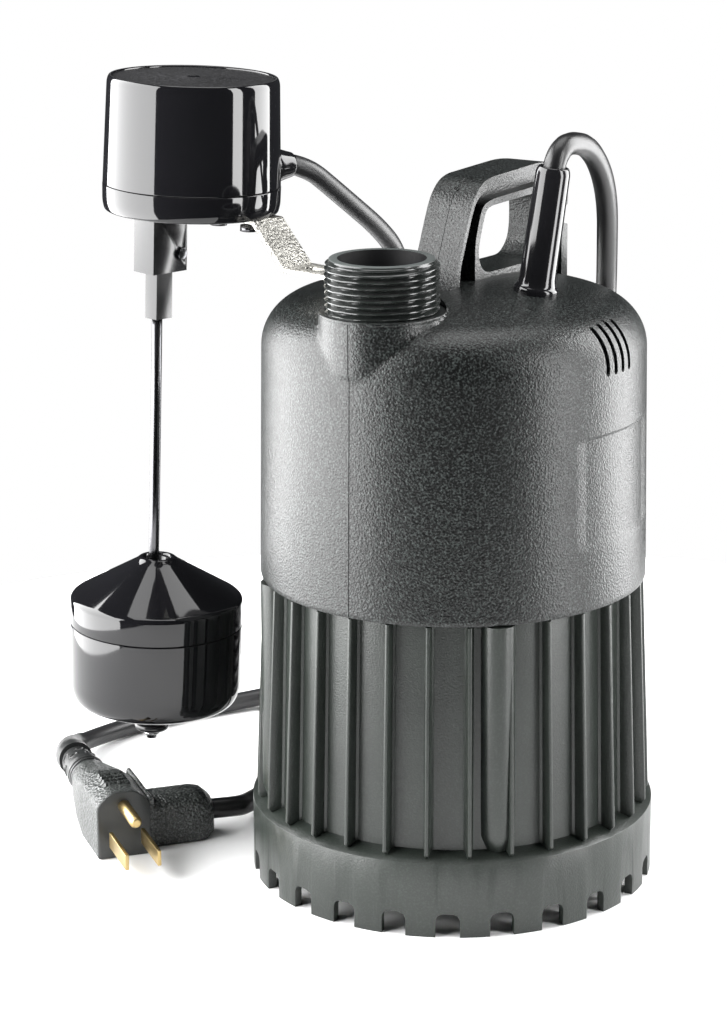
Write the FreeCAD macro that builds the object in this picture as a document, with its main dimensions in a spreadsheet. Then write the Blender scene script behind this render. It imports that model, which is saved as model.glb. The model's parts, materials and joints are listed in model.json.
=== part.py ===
"""Submersible sump pump with a vertical float switch and a piggyback plug.

Millimetres. +Z is up, the origin is on the pump's axis at the foot of the base, and -Y is the
discharge side. The motor stands behind the discharge riser, so its axis is moved towards +Y.
"""
import FreeCAD, Part
import math
import os
import Sketcher

Vector = FreeCAD.Vector
Rotation = FreeCAD.Rotation
Placement = FreeCAD.Placement

# ---------------------------------------------------------------- driving dimensions (mm)
DIMENSIONS = {
    "base_radius": 76.8, "base_skirt": 28.6, "base_wall": 3.2, "notch_wide": 9.0, "notch_tall": 9.1,
    "shoulder_radius": 69.6, "shoulder_top": 31.3, "web_radius": 63.4, "web_bottom": 27.6,
    "rib_root": 67.0, "rib_foot": 75.6, "rib_head": 72.0, "rib_wide": 1.9, "housing_wall": 3.0,
    "housing_foot": 69.4, "housing_head": 67.2, "boss_radius": 5.8, "boss_circle": 67.8,
    "cover_bottom": 117.1, "cover_foot": 72.7, "cover_head": 70.9, "cover_apex": 229.0,
    "crown_radius": 262.0, "dome_round": 18.6, "cover_wall": 3.2, "spigot_tall": 8.0,
    "neck_offset": 49.4, "neck_radius": 22.2, "neck_top": 225.5, "neck_foot": 207.0, "riser_top": 244.6,
    "thread_crest": 20.6, "thread_root": 19.1, "thread_pitch": 2.209, "riser_bore": 15.6,
    "riser_lower": 14.0, "riser_lower_bore": 11.0,
    "handle_half": 9.2, "vent_wide": 2.1, "label_half": 24.4, "label_bottom": 140.8,
    "label_top": 181.0, "label_deep": 0.6,
    "motor_offset": 17.0, "can_radius": 44.0, "can_wall": 2.0, "can_top": 188.0,
    "plate_bottom": 33.4, "plate_top": 37.4, "core_bottom": 82.0, "core_tall": 60.0,
    "shaft_radius": 5.0, "rotor_radius": 21.5, "air_gap": 0.5, "chamber_radius": 38.0,
    "cap_radius": 33.3, "switch_bottom": 251.0, "switch_seam": 261.0, "switch_top": 301.0,
    "rod_offset": 17.8, "rod_radius": 2.0, "rod_end": 36.0, "float_radius": 33.8,
    "float_bottom": 50.6, "float_seam": 84.6, "float_shoulder": 95.2, "float_crest": 111.4,
    "sleeve_foot": 42.8, "sleeve_radius": 5.0, "stop_foot": 38.6,
    "strap_wide": 15.0, "strap_thick": 1.6, "power_cord": 8.2, "switch_cord": 7.8,
    "blade_long": 17.5, "boot_socket": 41.4,
}

doc = FreeCAD.newDocument("sump_pump")
sheet = doc.addObject("Spreadsheet::Sheet", "Dims")
for row, (alias, size) in enumerate(DIMENSIONS.items(), start=1):
    sheet.set("A%d" % row, alias)
    sheet.set("B%d" % row, str(size))
    sheet.setAlias("B%d" % row, alias)
doc.recompute()

NODES = []


# ---------------------------------------------------------------- helpers
def value(text):
    """The number that a sum of sheet names and plain numbers comes to."""
    total, sign = 0.0, 1.0
    for word in str(text).split():
        if word in "+-":
            sign = 1.0 if word == "+" else -1.0
            continue
        product = 1.0
        for factor in word.split("*"):
            product *= DIMENSIONS[factor] if factor in DIMENSIONS else float(factor)
        total += sign * product
        sign = 1.0
    return total


def bound(text):
    """The same sum written for the sheet."""
    words = []
    for word in str(text).split():
        factors = ["Dims." + part if part in DIMENSIONS else part for part in word.split("*")]
        words.append("*".join(factors))
    return " ".join(words)


def bind(item, **sizes):
    for name, text in sizes.items():
        setattr(item, name, value(text))
        item.setExpression(name, bound(text))


def put(item, x="0", y="0", z="0", turn=None):
    item.Placement = Placement(Vector(value(x), value(y), value(z)), turn or Rotation())
    for axis, text in zip("xyz", (x, y, z)):
        item.setExpression("Placement.Base." + axis, bound(text))
    return item


def cylinder(label, radius, height, x="0", y="0", z="0", turn=None):
    item = doc.addObject("Part::Cylinder", label)
    bind(item, Radius=radius, Height=height)
    return put(item, x, y, z, turn)


def cone(label, low, high, height, x="0", y="0", z="0", turn=None):
    item = doc.addObject("Part::Cone", label)
    bind(item, Radius1=low, Radius2=high, Height=height)
    return put(item, x, y, z, turn)


def box(label, length, width, height, x="0", y="0", z="0", turn=None):
    """A box whose x and y are its middle and whose z is its foot; a turned one starts at a corner."""
    item = doc.addObject("Part::Box", label)
    bind(item, Length=length, Width=width, Height=height)
    if turn:
        return put(item, x, y, z, turn)
    return put(item, x + " - 0.5*" + length, y + " - 0.5*" + width, z)


def torus(label, ring, tube, x="0", y="0", z="0"):
    item = doc.addObject("Part::Torus", label)
    bind(item, Radius1=ring, Radius2=tube)
    return put(item, x, y, z)


def fuse(label, *items):
    item = doc.addObject("Part::MultiFuse", label)
    item.Shapes = list(items)
    item.Refine = True
    return item


def cut(label, base, *tools):
    tool = tools[0] if len(tools) == 1 else fuse(label + "_tools", *tools)
    item = doc.addObject("Part::Cut", label)
    item.Base = base
    item.Tool = tool
    item.Refine = True
    return item


def common(label, first, second):
    item = doc.addObject("Part::Common", label)
    item.Base = first
    item.Tool = second
    return item


def tube(label, outer, inner, height, x="0", y="0", z="0"):
    return cut(label, cylinder(label + "_outside", outer, height, x, y, z),
               cylinder(label + "_inside", inner, height + " + 2", x, y, z + " - 1"))


def solid(label, shape):
    """A piece made with Part's own functions, for shapes that no primitive gives."""
    item = doc.addObject("Part::Feature", label)
    item.Shape = shape
    return item


def moved(item, placement):
    """Carries an item, as it was made, into another frame."""
    here = item.Placement
    if item.TypeId in ("Part::Cylinder", "Part::Box", "Part::Cone", "Part::Torus", "Part::Prism"):
        for axis in "xyz":
            item.setExpression("Placement.Base." + axis, None)
    item.Placement = placement.multiply(here)
    return item


def node(item, label, placement=None):
    item.Label = label
    if placement:
        moved(item, placement)
    NODES.append(item)
    return item


def origin_plane(body, role):
    return [plane for plane in body.Origin.OriginFeatures if plane.Role == role][0]


def place_vertex(sketch, line, point):
    """Ties the start of a line to its place, given as a pair of sums."""
    for kind, axis, text in (("DistanceX", -2, point[0]), ("DistanceY", -1, point[1])):
        if abs(value(text)) < 1e-9:
            sketch.addConstraint(Sketcher.Constraint("PointOnObject", line, 1, axis))
        else:
            at = sketch.addConstraint(Sketcher.Constraint(kind, -1, 1, line, 1, value(text)))
            sketch.setExpression("Constraints[%d]" % at, bound(text))


def outline(body, name, role, points):
    """A closed sketch of straight lines through points on one of the body's origin planes."""
    sketch = body.newObject("Sketcher::SketchObject", name)
    sketch.AttachmentSupport = [(origin_plane(body, role), "")]
    sketch.MapMode = "FlatFace"
    places = [Vector(value(across), value(up), 0) for across, up in points]
    for start, end in zip(places, places[1:] + places[:1]):
        sketch.addGeometry(Part.LineSegment(start, end))
    for line in range(len(places)):
        following = (line + 1) % len(places)
        sketch.addConstraint(Sketcher.Constraint("Coincident", line, 2, following, 1))
    for line, point in enumerate(points):
        place_vertex(sketch, line, point)
    return sketch


def turned(label, points):
    """A PartDesign body turned about Z from an outline of (radius, height) points."""
    body = doc.addObject("PartDesign::Body", label)
    sketch = outline(body, label + "_outline", "XZ_Plane", points)
    feature = body.newObject("PartDesign::Revolution", label + "_turned")
    feature.Profile = sketch
    feature.ReferenceAxis = (sketch, ["V_Axis"])
    feature.Angle = 360
    body.Tip = feature
    return body


def repeated(body, feature, count):
    """Repeats a feature of a body evenly about Z."""
    pattern = body.newObject("PartDesign::PolarPattern", feature.Name + "_ring")
    pattern.Originals = [feature]
    pattern.Axis = (origin_plane(body, "Z_Axis"), [""])
    pattern.Angle = 360
    pattern.Occurrences = count
    body.Tip = pattern
    return pattern


def padded(label, role, points, thickness):
    """A PartDesign body padded both ways from an outline on an origin plane."""
    body = doc.addObject("PartDesign::Body", label)
    sketch = outline(body, label + "_outline", role, points)
    pad = body.newObject("PartDesign::Pad", label + "_pad")
    pad.Profile = sketch
    pad.SideType = "Symmetric"
    bind(pad, Length=thickness)
    body.Tip = pad
    return body


def rounded(label, base, pick, radius):
    """Fillets the edges of base that pick chooses."""
    doc.recompute()
    edges = [at + 1 for at, edge in enumerate(base.Shape.Edges) if pick(edge)]
    item = doc.addObject("Part::Fillet", label)
    item.Base = base
    item.Edges = [(at, radius, radius) for at in edges]
    return item


def is_circle(edge):
    return not edge.Degenerated and edge.Curve.TypeId == "Part::GeomCircle"


def ring_places(count, circle, start=0.0):
    for step in range(count):
        angle = math.radians(start + 360.0 * step / count)
        yield str(round(circle * math.cos(angle), 4)), round(circle * math.sin(angle), 4), angle


# ---------------------------------------------------------------- base and lower housing
def make_base():
    base = turned("base_ring", [
        ("base_radius - base_wall", "0"), ("base_radius", "0"), ("base_radius", "base_skirt"),
        ("shoulder_radius", "shoulder_top"), ("web_radius", "shoulder_top"),
        ("web_radius", "web_bottom"), ("base_radius - base_wall", "web_bottom")])
    notch = outline(base, "notch_outline", "YZ_Plane", [
        ("-0.5*notch_wide", "-1"), ("0.5*notch_wide", "-1"), ("0.5*notch_wide", "notch_tall - 2.6"),
        ("0.5*notch_wide - 0.8", "notch_tall - 0.8"), ("0.5*notch_wide - 2.6", "notch_tall"),
        ("-0.5*notch_wide + 2.6", "notch_tall"), ("-0.5*notch_wide + 0.8", "notch_tall - 0.8"),
        ("-0.5*notch_wide", "notch_tall - 2.6")])
    pocket = base.newObject("PartDesign::Pocket", "notch")
    pocket.Profile = notch
    pocket.Reversed = True
    bind(pocket, Length="base_radius + 10")
    base.Tip = pocket
    doc.recompute()
    repeated(base, pocket, 24)
    holes = [cylinder("base_hole_%d" % index, "1.75", "12", x, str(y), "24")
             for index, (x, y, _) in enumerate(ring_places(4, value("boss_circle"), 45.0))]
    node(cut("base_drilled", base, *holes), "base_strainer")


RIB_START = 6.0


def make_lower_housing():
    housing = turned("housing_shell", [
        ("housing_foot - housing_wall", "shoulder_top"), ("housing_foot", "shoulder_top"),
        ("housing_head", "cover_bottom"), ("housing_head", "cover_bottom + spigot_tall"),
        ("housing_head - housing_wall", "cover_bottom + spigot_tall")])
    rib = outline(housing, "rib_outline", "XZ_Plane", [
        ("rib_root", "cover_bottom"), ("rib_root", "shoulder_top + 3"),
        ("shoulder_radius", "shoulder_top"), ("rib_foot", "base_skirt + 0.45"),
        ("rib_foot", "base_skirt + 3"), ("rib_head", "cover_bottom")])
    pad = housing.newObject("PartDesign::Pad", "rib")
    pad.Profile = rib
    pad.SideType = "Symmetric"
    bind(pad, Length="rib_wide")
    housing.Tip = pad
    doc.recompute()
    repeated(housing, pad, 30)
    housing.Placement = Placement(Vector(0, 0, 0), Rotation(Vector(0, 0, 1), RIB_START))
    columns, holes = [], []
    for index, (x, y, _) in enumerate(ring_places(4, value("boss_circle"), 45.0)):
        columns.append(cylinder("boss_%d" % index, "boss_radius", "cover_bottom - shoulder_top",
                                x, str(y), "shoulder_top"))
        holes.append(cylinder("boss_hole_%d" % index, "1.7", "cover_bottom - shoulder_top + 2",
                              x, str(y), "shoulder_top - 1"))
    return node(cut("ribbed_shell", fuse("shell_with_bosses", housing, *columns), *holes),
                "lower_housing")


def make_housing_screws():
    screws = []
    for index, (x, y, _) in enumerate(ring_places(4, value("boss_circle"), 45.0)):
        shank = cylinder("housing_screw_shank_%d" % index, "1.7", "82", x, str(y), "27.6")
        head = cylinder("housing_screw_head_%d" % index, "3.4", "2.6", x, str(y), "25")
        screws.append(fuse("housing_screw_%d" % index, shank, head))
    return node(fuse("screws_of_housing", *screws), "housing_screws")


# ---------------------------------------------------------------- upper cover and handle
SEAM_HEADING = -160.0
FLAT_TOP = 3.0


def dome(label, shrink, foot):
    """The cover's outside, or its inside when shrunk by the wall: a tapered side, a rounded
    shoulder and a shallow crown with a tiny flat at its middle."""
    low = Vector(value("cover_foot") - shrink, 0, value("cover_bottom"))
    side = Vector(value("cover_head") - shrink, 0, value("cover_apex")) - low
    side.normalize()
    start = low + side * (foot - low.z) / side.z
    inward = Vector(-side.z, 0, side.x)
    crown = value("crown_radius") - shrink
    middle = Vector(0, 0, value("cover_apex") - value("crown_radius"))
    shoulder = value("dome_round") - shrink
    offset = low + inward * shoulder - middle
    half = offset.dot(side)
    climb = -half + math.sqrt(half ** 2 - offset.Length ** 2 + (crown - shoulder) ** 2)
    centre = low + inward * shoulder + side * climb
    outward = (centre - middle).normalize()
    side_end, crown_start = low + side * climb, middle + outward * crown
    bulge = centre + (outward - inward).normalize() * shoulder
    flat = middle + Vector(FLAT_TOP, 0, math.sqrt(crown ** 2 - FLAT_TOP ** 2))
    lift = (outward + (flat - middle).normalize()).normalize()
    edges = [Part.LineSegment(Vector(0, 0, foot), start), Part.LineSegment(start, side_end),
             Part.Arc(side_end, bulge, crown_start),
             Part.Arc(crown_start, middle + lift * crown, flat),
             Part.LineSegment(flat, Vector(0, 0, flat.z)),
             Part.LineSegment(Vector(0, 0, flat.z), Vector(0, 0, foot))]
    face = Part.Face(Part.Wire([edge.toShape() for edge in edges]))
    turned_face = face.revolve(Vector(0, 0, 0), Vector(0, 0, 1), 360)
    item = solid(label, turned_face)
    item.Placement = Placement(Vector(0, 0, 0), Rotation(Vector(0, 0, 1), SEAM_HEADING))
    return item


def vent_slots():
    """Four slots over the rounded shoulder, parallel to X."""
    slots = []
    for index, side in enumerate((-11.8, -7.0, -2.2, 2.6)):
        ring = tube("vent_ring_%d" % index, "24", "11.5", "vent_wide", "0", "0", "0")
        ring.Placement = Placement(Vector(0, 0, 0), Rotation())
        half = box("vent_side_%d" % index, "30", "30", "20", "15", "15", "-5")
        slot = common("vent_slot_%d" % index, ring, half)
        slot.Placement = Placement(Vector(value("cover_head - dome_round"),
                                          side + 0.5 * value("vent_wide"), 203.2),
                                   Rotation(Vector(1, 0, 0), 90))
        slots.append(slot)
    return slots


def label_recess():
    outer = tube("recess_band", "cover_foot + 5", "cover_head - label_deep + 0.7",
                 "label_top - label_bottom", "0", "0", "label_bottom")
    window = box("recess_window", "20", "2*label_half", "label_top - label_bottom",
                 "70", "0", "label_bottom")
    return common("label_recess", outer, window)


def make_upper_cover():
    outside = dome("cover_outside", 0.0, value("cover_bottom"))
    inside = dome("cover_inside", value("cover_wall"), value("cover_bottom") - 4)
    neck = cylinder("neck_outside", "neck_radius", "neck_top - neck_foot", "0", "-1*neck_offset",
                    "neck_foot")
    collar = cylinder("neck_collar", "neck_radius + 0.9", "6.4", "0", "-1*neck_offset",
                      "neck_top - 6.4")
    neck_bore = cylinder("neck_bore", "thread_root + 0.3", "90", "0", "-1*neck_offset", "148")
    neck_face = cylinder("neck_face", "thread_crest + 0.6", "12", "0", "-1*neck_offset", "neck_top")
    strap_boss = cylinder("strap_boss", "5", "12", STRAP_SCREW[0], STRAP_SCREW[1], "220")
    strap_hole = cylinder("strap_hole", "1.6", "15", STRAP_SCREW[0], STRAP_SCREW[1], "219")
    boot_hole = cylinder("boot_hole", "4.6", "20", BOOT_FOOT[0], BOOT_FOOT[1], "215")
    handle_holes = [cylinder("handle_hole_%d" % index, "1.8", "20", "0", str(y), "212")
                    for index, (y, _) in enumerate(HANDLE_SCREWS)]
    shell = fuse("cover_blank", cut("cover_walls", outside, inside), neck, collar, strap_boss)
    node(cut("cover_shell", shell, neck_bore, neck_face, strap_hole, boot_hole, label_recess(),
             *(handle_holes + vent_slots())), "upper_cover")
    return outside


HANDLE_OUTSIDE = [
    ("-24", "218"), ("-20.4", "226.6"), ("-16.5", "230"), ("-13.2", "234.6"), ("-10.4", "240"),
    ("-6", "250.6"), ("-2.6", "257.6"), ("0.6", "261.4"), ("4.6", "264.2"), ("10", "265.6"),
    ("46", "266.3"), ("57", "265"), ("66.6", "262.8"), ("69", "261"), ("69.4", "247.2"),
    ("64.6", "246.2"), ("63.4", "243.4"), ("64.6", "240.8"), ("69.4", "239.6"), ("69.6", "206"),
    ("52", "206"), ("46", "218")]
HANDLE_INSIDE = [
    ("12.4", "230.4"), ("47", "229.4"), ("50.6", "230.8"), ("54.4", "234.2"), ("56", "239"),
    ("56.2", "247"), ("55.4", "252.4"), ("53", "255.2"), ("12", "255"), ("8.6", "254.4"),
    ("6.8", "252.6"), ("4.6", "247.4"), ("2.2", "241"), ("2.4", "236.4"), ("4.6", "232.6"),
    ("8", "230.8")]
HANDLE_CHANNEL = [
    ("-12", "226"), ("-10.6", "235"), ("-8", "241"), ("-3.6", "251.2"), ("-0.4", "257.4"),
    ("4.6", "260.6"), ("11", "261.6"), ("46", "262"), ("62", "259.4"), ("64", "257"),
    ("64.4", "249"), ("61", "247.4"), ("60", "243.4"), ("61", "239.4"), ("64.8", "236.4"),
    ("65", "206"), ("58", "206"), ("58.6", "230"), ("59.4", "240"), ("58.4", "251.6"),
    ("54.6", "257.8"), ("11.4", "257.4"), ("5.6", "256"), ("3", "252"), ("-0.2", "243"),
    ("-0.4", "236"), ("0", "226")]


def make_handle(cover_outside):
    bar = padded("handle_bar", "YZ_Plane", HANDLE_OUTSIDE, "2*handle_half")
    opening = padded("handle_opening", "YZ_Plane", HANDLE_INSIDE, "2*handle_half + 4")
    channels = []
    for side, name in ((1, "right"), (-1, "left")):
        channel = padded("handle_channel_" + name, "YZ_Plane", HANDLE_CHANNEL, "7")
        channel.Placement = Placement(Vector(side * value("handle_half"), 0, 0), Rotation())
        channels.append(channel)
    bores = [cylinder("handle_bore_%d" % index, "1.8", str(top - 218), "0", str(y), "218")
             for index, (y, top) in enumerate(HANDLE_SCREWS)]
    return node(cut("handle_seated", bar, opening, cover_outside, *(channels + bores)),
                "carry_handle")


def make_handle_screws():
    screws = []
    for index, (y, top) in enumerate(HANDLE_SCREWS):
        apex = value("cover_apex") - y * y / (2 * value("crown_radius")) - value("cover_wall")
        shank = cylinder("handle_screw_shank_%d" % index, "1.8", str(round(top + 1 - apex, 3)),
                         "0", str(y), str(round(apex - 1, 3)))
        head = cylinder("handle_screw_head_%d" % index, "3.5", "2.4", "0", str(y),
                        str(round(apex - 3.1, 3)))
        screws.append(fuse("handle_screw_%d" % index, shank, head))
    return node(fuse("screws_of_handle", *screws), "handle_screws")


# ---------------------------------------------------------------- discharge riser
def make_riser():
    crest, root = "thread_crest", "thread_root"
    points = [("riser_lower_bore", "14"), ("riser_lower", "14"), ("riser_lower", "128"),
              ("18", "137"), ("18", "neck_top - 8"), (root, "neck_top - 7"),
              (root, "neck_top + 0.6")]
    for turn in range(8):
        low = "neck_top + 0.6 + %d*thread_pitch" % turn
        points += [(crest, low + " + 0.5*thread_pitch - 0.35"),
                   (crest, low + " + 0.5*thread_pitch + 0.35"), (root, low + " + thread_pitch")]
    points += [(root, "riser_top"), ("riser_bore", "riser_top"), ("riser_bore", "137"),
               ("riser_lower_bore", "128")]
    riser = turned("riser", points)
    return node(riser, "discharge_riser",
                Placement(Vector(0, -value("neck_offset"), 0), Rotation()))


# ---------------------------------------------------------------- pump end
MOTOR_Y = "motor_offset"
RISER_Y = "-1*neck_offset"


def make_volute():
    scroll = cylinder("scroll_outside", "45.5", "plate_bottom - 12", "0", MOTOR_Y, "12")
    lobe = cylinder("outlet_lobe", "16.4", "15.4", "0", RISER_Y, "12")
    bridge = box("outlet_bridge", "26", "50", "15.4", "0", "-24.4", "12")
    chamber = cylinder("scroll_chamber", "chamber_radius", "17", "0", MOTOR_Y, "11")
    channel = box("outlet_channel", "16", "40", "9", "0", "-29.4", "11")
    outlet = cylinder("outlet_well", "riser_lower_bore", "10", "0", RISER_Y, "11")
    socket = cylinder("outlet_socket", "riser_lower + 0.02", "20", "0", RISER_Y, "14")
    seal_bore = cylinder("volute_seal_bore", "12", "12", "0", MOTOR_Y, "24")
    bores = [cylinder("volute_bore_%d" % index, "1.8", "30", x, MOTOR_Y + " + " + str(y), "8")
             for index, (x, y, _) in enumerate(ring_places(4, 41.8, 45.0))]
    return node(cut("volute_casting", fuse("volute_blank", scroll, lobe, bridge), chamber, channel,
                    outlet, socket, seal_bore, *bores), "volute")


def make_intake_plate():
    disc = cylinder("intake_disc", "45.5", "3", "0", MOTOR_Y, "9")
    tail = box("intake_tail", "28", "40", "3", "0", "-29.4", "9")
    tip = cylinder("intake_tip", "14", "3", "0", RISER_Y, "9")
    eye = cylinder("intake_eye", "16", "6", "0", MOTOR_Y, "7")
    bores = [cylinder("intake_bore_%d" % index, "1.8", "8", x, MOTOR_Y + " + " + str(y), "7")
             for index, (x, y, _) in enumerate(ring_places(4, 41.8, 45.0))]
    return node(cut("intake_cut", fuse("intake_blank", disc, tail, tip), eye, *bores),
                "intake_plate")


def make_volute_screws():
    screws = []
    for index, (x, y, _) in enumerate(ring_places(4, 41.8, 45.0)):
        place = (x, MOTOR_Y + " + " + str(y))
        shank = cylinder("volute_screw_shank_%d" % index, "1.8", "27", place[0], place[1], "9")
        head = cylinder("volute_screw_head_%d" % index, "3.4", "2.4", place[0], place[1], "6.6")
        screws.append(fuse("volute_screw_%d" % index, shank, head))
    return node(fuse("screws_of_volute", *screws), "volute_screws")


def make_seal_plate():
    disc = cylinder("plate_disc", "65.4", "plate_top - plate_bottom", "0", "0", "plate_bottom")
    lip = tube("plate_lip", "65.4", "62.8", "plate_bottom - shoulder_top", "0", "0",
               "shoulder_top")
    boss = cylinder("plate_boss", "19", "12", "0", MOTOR_Y, "plate_bottom")
    spigot = cylinder("plate_spigot", "can_radius - can_wall", "5.6", "0", MOTOR_Y, "plate_bottom")
    groove = torus("plate_groove", "can_radius - can_wall", "1.1", "0", MOTOR_Y, "plate_top + 0.8")
    riser_hole = cylinder("plate_riser_hole", "riser_lower + 0.2", "10", "0", RISER_Y, "30")
    shaft_hole = cylinder("plate_shaft_hole", "shaft_radius + 1.2", "30", "0", MOTOR_Y, "30")
    seat_pocket = cylinder("plate_seat_pocket", "10", "4", "0", MOTOR_Y, "32")
    bearing_pocket = cylinder("plate_bearing_pocket", "14", "10", "0", MOTOR_Y, "38.4")
    bores = [cylinder("plate_bore_%d" % index, "1.8", "4", x, MOTOR_Y + " + " + str(y), "32.4")
             for index, (x, y, _) in enumerate(ring_places(4, 41.8, 45.0))]
    bores += [cylinder("plate_corner_%d" % index, "boss_radius + 0.3", "12", x, str(y), "28")
              for index, (x, y, _) in enumerate(ring_places(4, value("boss_circle"), 45.0))]
    return node(cut("plate_cut", fuse("plate_blank", disc, lip, boss, spigot), groove, riser_hole,
                    shaft_hole, seat_pocket, bearing_pocket, *bores), "seal_plate")


def make_shaft_seal():
    seat = tube("seal_seat", "10", "shaft_radius + 0.6", "4", "0", MOTOR_Y, "32")
    head = tube("seal_ring", "9", "shaft_radius", "3.15", "0", MOTOR_Y, "28.8")
    coils = [torus("seal_coil_%d" % index, "6.6", "0.62", "0", MOTOR_Y, str(24.7 + 1.16 * index))
             for index in range(4)]
    spring = fuse("seal_coils", *coils)
    node(seat, "shaft_seal_seat")
    node(head, "shaft_seal_ring")
    node(spring, "shaft_seal_spring")


def make_impeller():
    hub = cylinder("impeller_hub", "9", "9", "0", MOTOR_Y, "15")
    disc = cylinder("impeller_disc", "32", "2.6", "0", MOTOR_Y, "21.4")
    vanes = []
    for index in range(6):
        arc = tube("vane_arc_%d" % index, "22", "19.6", "7.4", "0", "0", "0")
        quarter = box("vane_span_%d" % index, "24", "24", "9", "12", "12", "0")
        vane = common("vane_%d" % index, arc, quarter)
        turn = Rotation(Vector(0, 0, 1), 60 * index)
        vane.Placement = Placement(
            Vector(0, value("motor_offset"), 14) + turn.multVec(Vector(9, -13, 0)), turn)
        vanes.append(vane)
    bore = cylinder("impeller_bore", "shaft_radius", "12", "0", MOTOR_Y, "14")
    return node(cut("impeller_wheel", fuse("impeller_blank", hub, disc, *vanes), bore), "impeller")


def make_shaft():
    shaft = cylinder("shaft_main", "shaft_radius", "169", "0", MOTOR_Y, "15")
    stud = cylinder("shaft_stud", "3", "6", "0", MOTOR_Y, "9")
    node(fuse("shaft_whole", shaft, stud), "motor_shaft")
    nut = doc.addObject("Part::Prism", "nut_blank")
    nut.Polygon = 6
    nut.Circumradius = 6.0
    nut.Height = 3.0
    put(nut, "0", MOTOR_Y, "12")
    node(cut("nut_bored", nut, cylinder("nut_bore", "3", "5", "0", MOTOR_Y, "11")), "impeller_nut")
    core = tube("rotor_body", "rotor_radius", "shaft_radius", "core_tall", "0", MOTOR_Y,
                "core_bottom")
    low = tube("rotor_end_low", "18", "12", "5", "0", MOTOR_Y, "core_bottom - 5")
    high = tube("rotor_end_high", "18", "12", "5", "0", MOTOR_Y, "core_bottom + core_tall")
    node(fuse("rotor_whole", core, low, high), "rotor_core")


# ---------------------------------------------------------------- motor
def make_motor():
    node(tube("can_tube", "can_radius", "can_radius - can_wall", "can_top - plate_top", "0", MOTOR_Y,
              "plate_top"), "motor_can")
    node(torus("can_ring", "can_radius - can_wall - 0.02", "1.08", "0", MOTOR_Y, "plate_top + 0.8"),
         "can_o_ring")
    lid = cylinder("cap_disc", "can_radius + 1.5", "5", "0", MOTOR_Y, "can_top")
    boss = cylinder("cap_boss", "18", "13", "0", MOTOR_Y, "can_top - 12")
    pocket = cylinder("cap_pocket", "13", "10", "0", MOTOR_Y, "can_top - 13")
    inlet = cylinder("cap_inlet", "4", "10", "26", MOTOR_Y, "can_top - 2")
    node(cut("cap_cut", fuse("cap_blank", lid, boss), pocket, inlet), "motor_cap")
    node(tube("lower_race", "14", "shaft_radius + 0.05", "7", "0", MOTOR_Y, "38.4"), "lower_bearing")
    node(tube("upper_race", "13", "shaft_radius + 0.05", "7.5", "0", MOTOR_Y, "can_top - 12"),
         "upper_bearing")
    make_stator()
    node(box("protector", "13", "6", "8", "0", "motor_offset + 32", "core_bottom + core_tall + 17.25"),
         "thermal_protector")
    block = box("block_body", "26", "14", "9", "0", "motor_offset + 16", "can_top + 5")
    slots = [box("block_slot_%d" % index, "5", "8", "6", str(8 * index - 8), "motor_offset + 16",
                 "can_top + 9") for index in range(3)]
    node(cut("block_cut", block, *slots), "terminal_block")


def make_stator():
    bore = "rotor_radius + air_gap"
    ring = tube("core_ring", "can_radius - can_wall", bore, "core_tall", "0", MOTOR_Y,
                "core_bottom")
    slots, bars = [], []
    for index, (x, y, _) in enumerate(ring_places(12, 30.0)):
        place = (x, MOTOR_Y + " + " + str(y))
        slots.append(cylinder("core_slot_%d" % index, "4", "core_tall + 2", place[0], place[1],
                              "core_bottom - 1"))
        bars.append(cylinder("winding_bar_%d" % index, "3.98", "core_tall + 4", place[0], place[1],
                             "core_bottom - 2"))
    node(cut("core_slotted", ring, *slots), "stator_core")
    ends = []
    for name, height in (("low", "core_bottom - 9"), ("high", "core_bottom + core_tall + 9")):
        ends.append(torus("winding_" + name, "31", "8.2", "0", MOTOR_Y, height))
    node(fuse("windings_whole", *(ends + bars)), "stator_windings")


# ---------------------------------------------------------------- float switch
SWITCH_LEAN = 2.1
VIEW_SIDE = Vector(-0.515, 0.857, 0)
SWITCH_HEADING = 170.0
ROD_FOOT = Vector(-115.0, -29.1, 0)
STRAP_SCREW = ("-26.7", "-34.1")
BOOT_FOOT = ("32.5", "3.5")
BOOT_TIP = (37.6, 6.6, 272.0)
HANDLE_SCREWS = ((-11.0, 231.0), (44.0, 228.0))


def switch_frames():
    """The upright frame on the switch's own axis, and the one that leans with the switch."""
    outward = Rotation(Vector(0, 0, 1), SWITCH_HEADING).multVec(Vector(1, 0, 0))
    foot = ROD_FOOT - outward * value("rod_offset")
    upright = Placement(foot, Rotation(Vector(0, 0, 1), SWITCH_HEADING))
    pivot = ROD_FOOT + Vector(0, 0, 205)
    lean = Placement(pivot, Rotation(VIEW_SIDE, SWITCH_LEAN)).multiply(
        Placement(-pivot, Rotation()))
    return upright, lean.multiply(upright)


UPRIGHT, LEANING = switch_frames()
ROD_X = "rod_offset"


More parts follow.
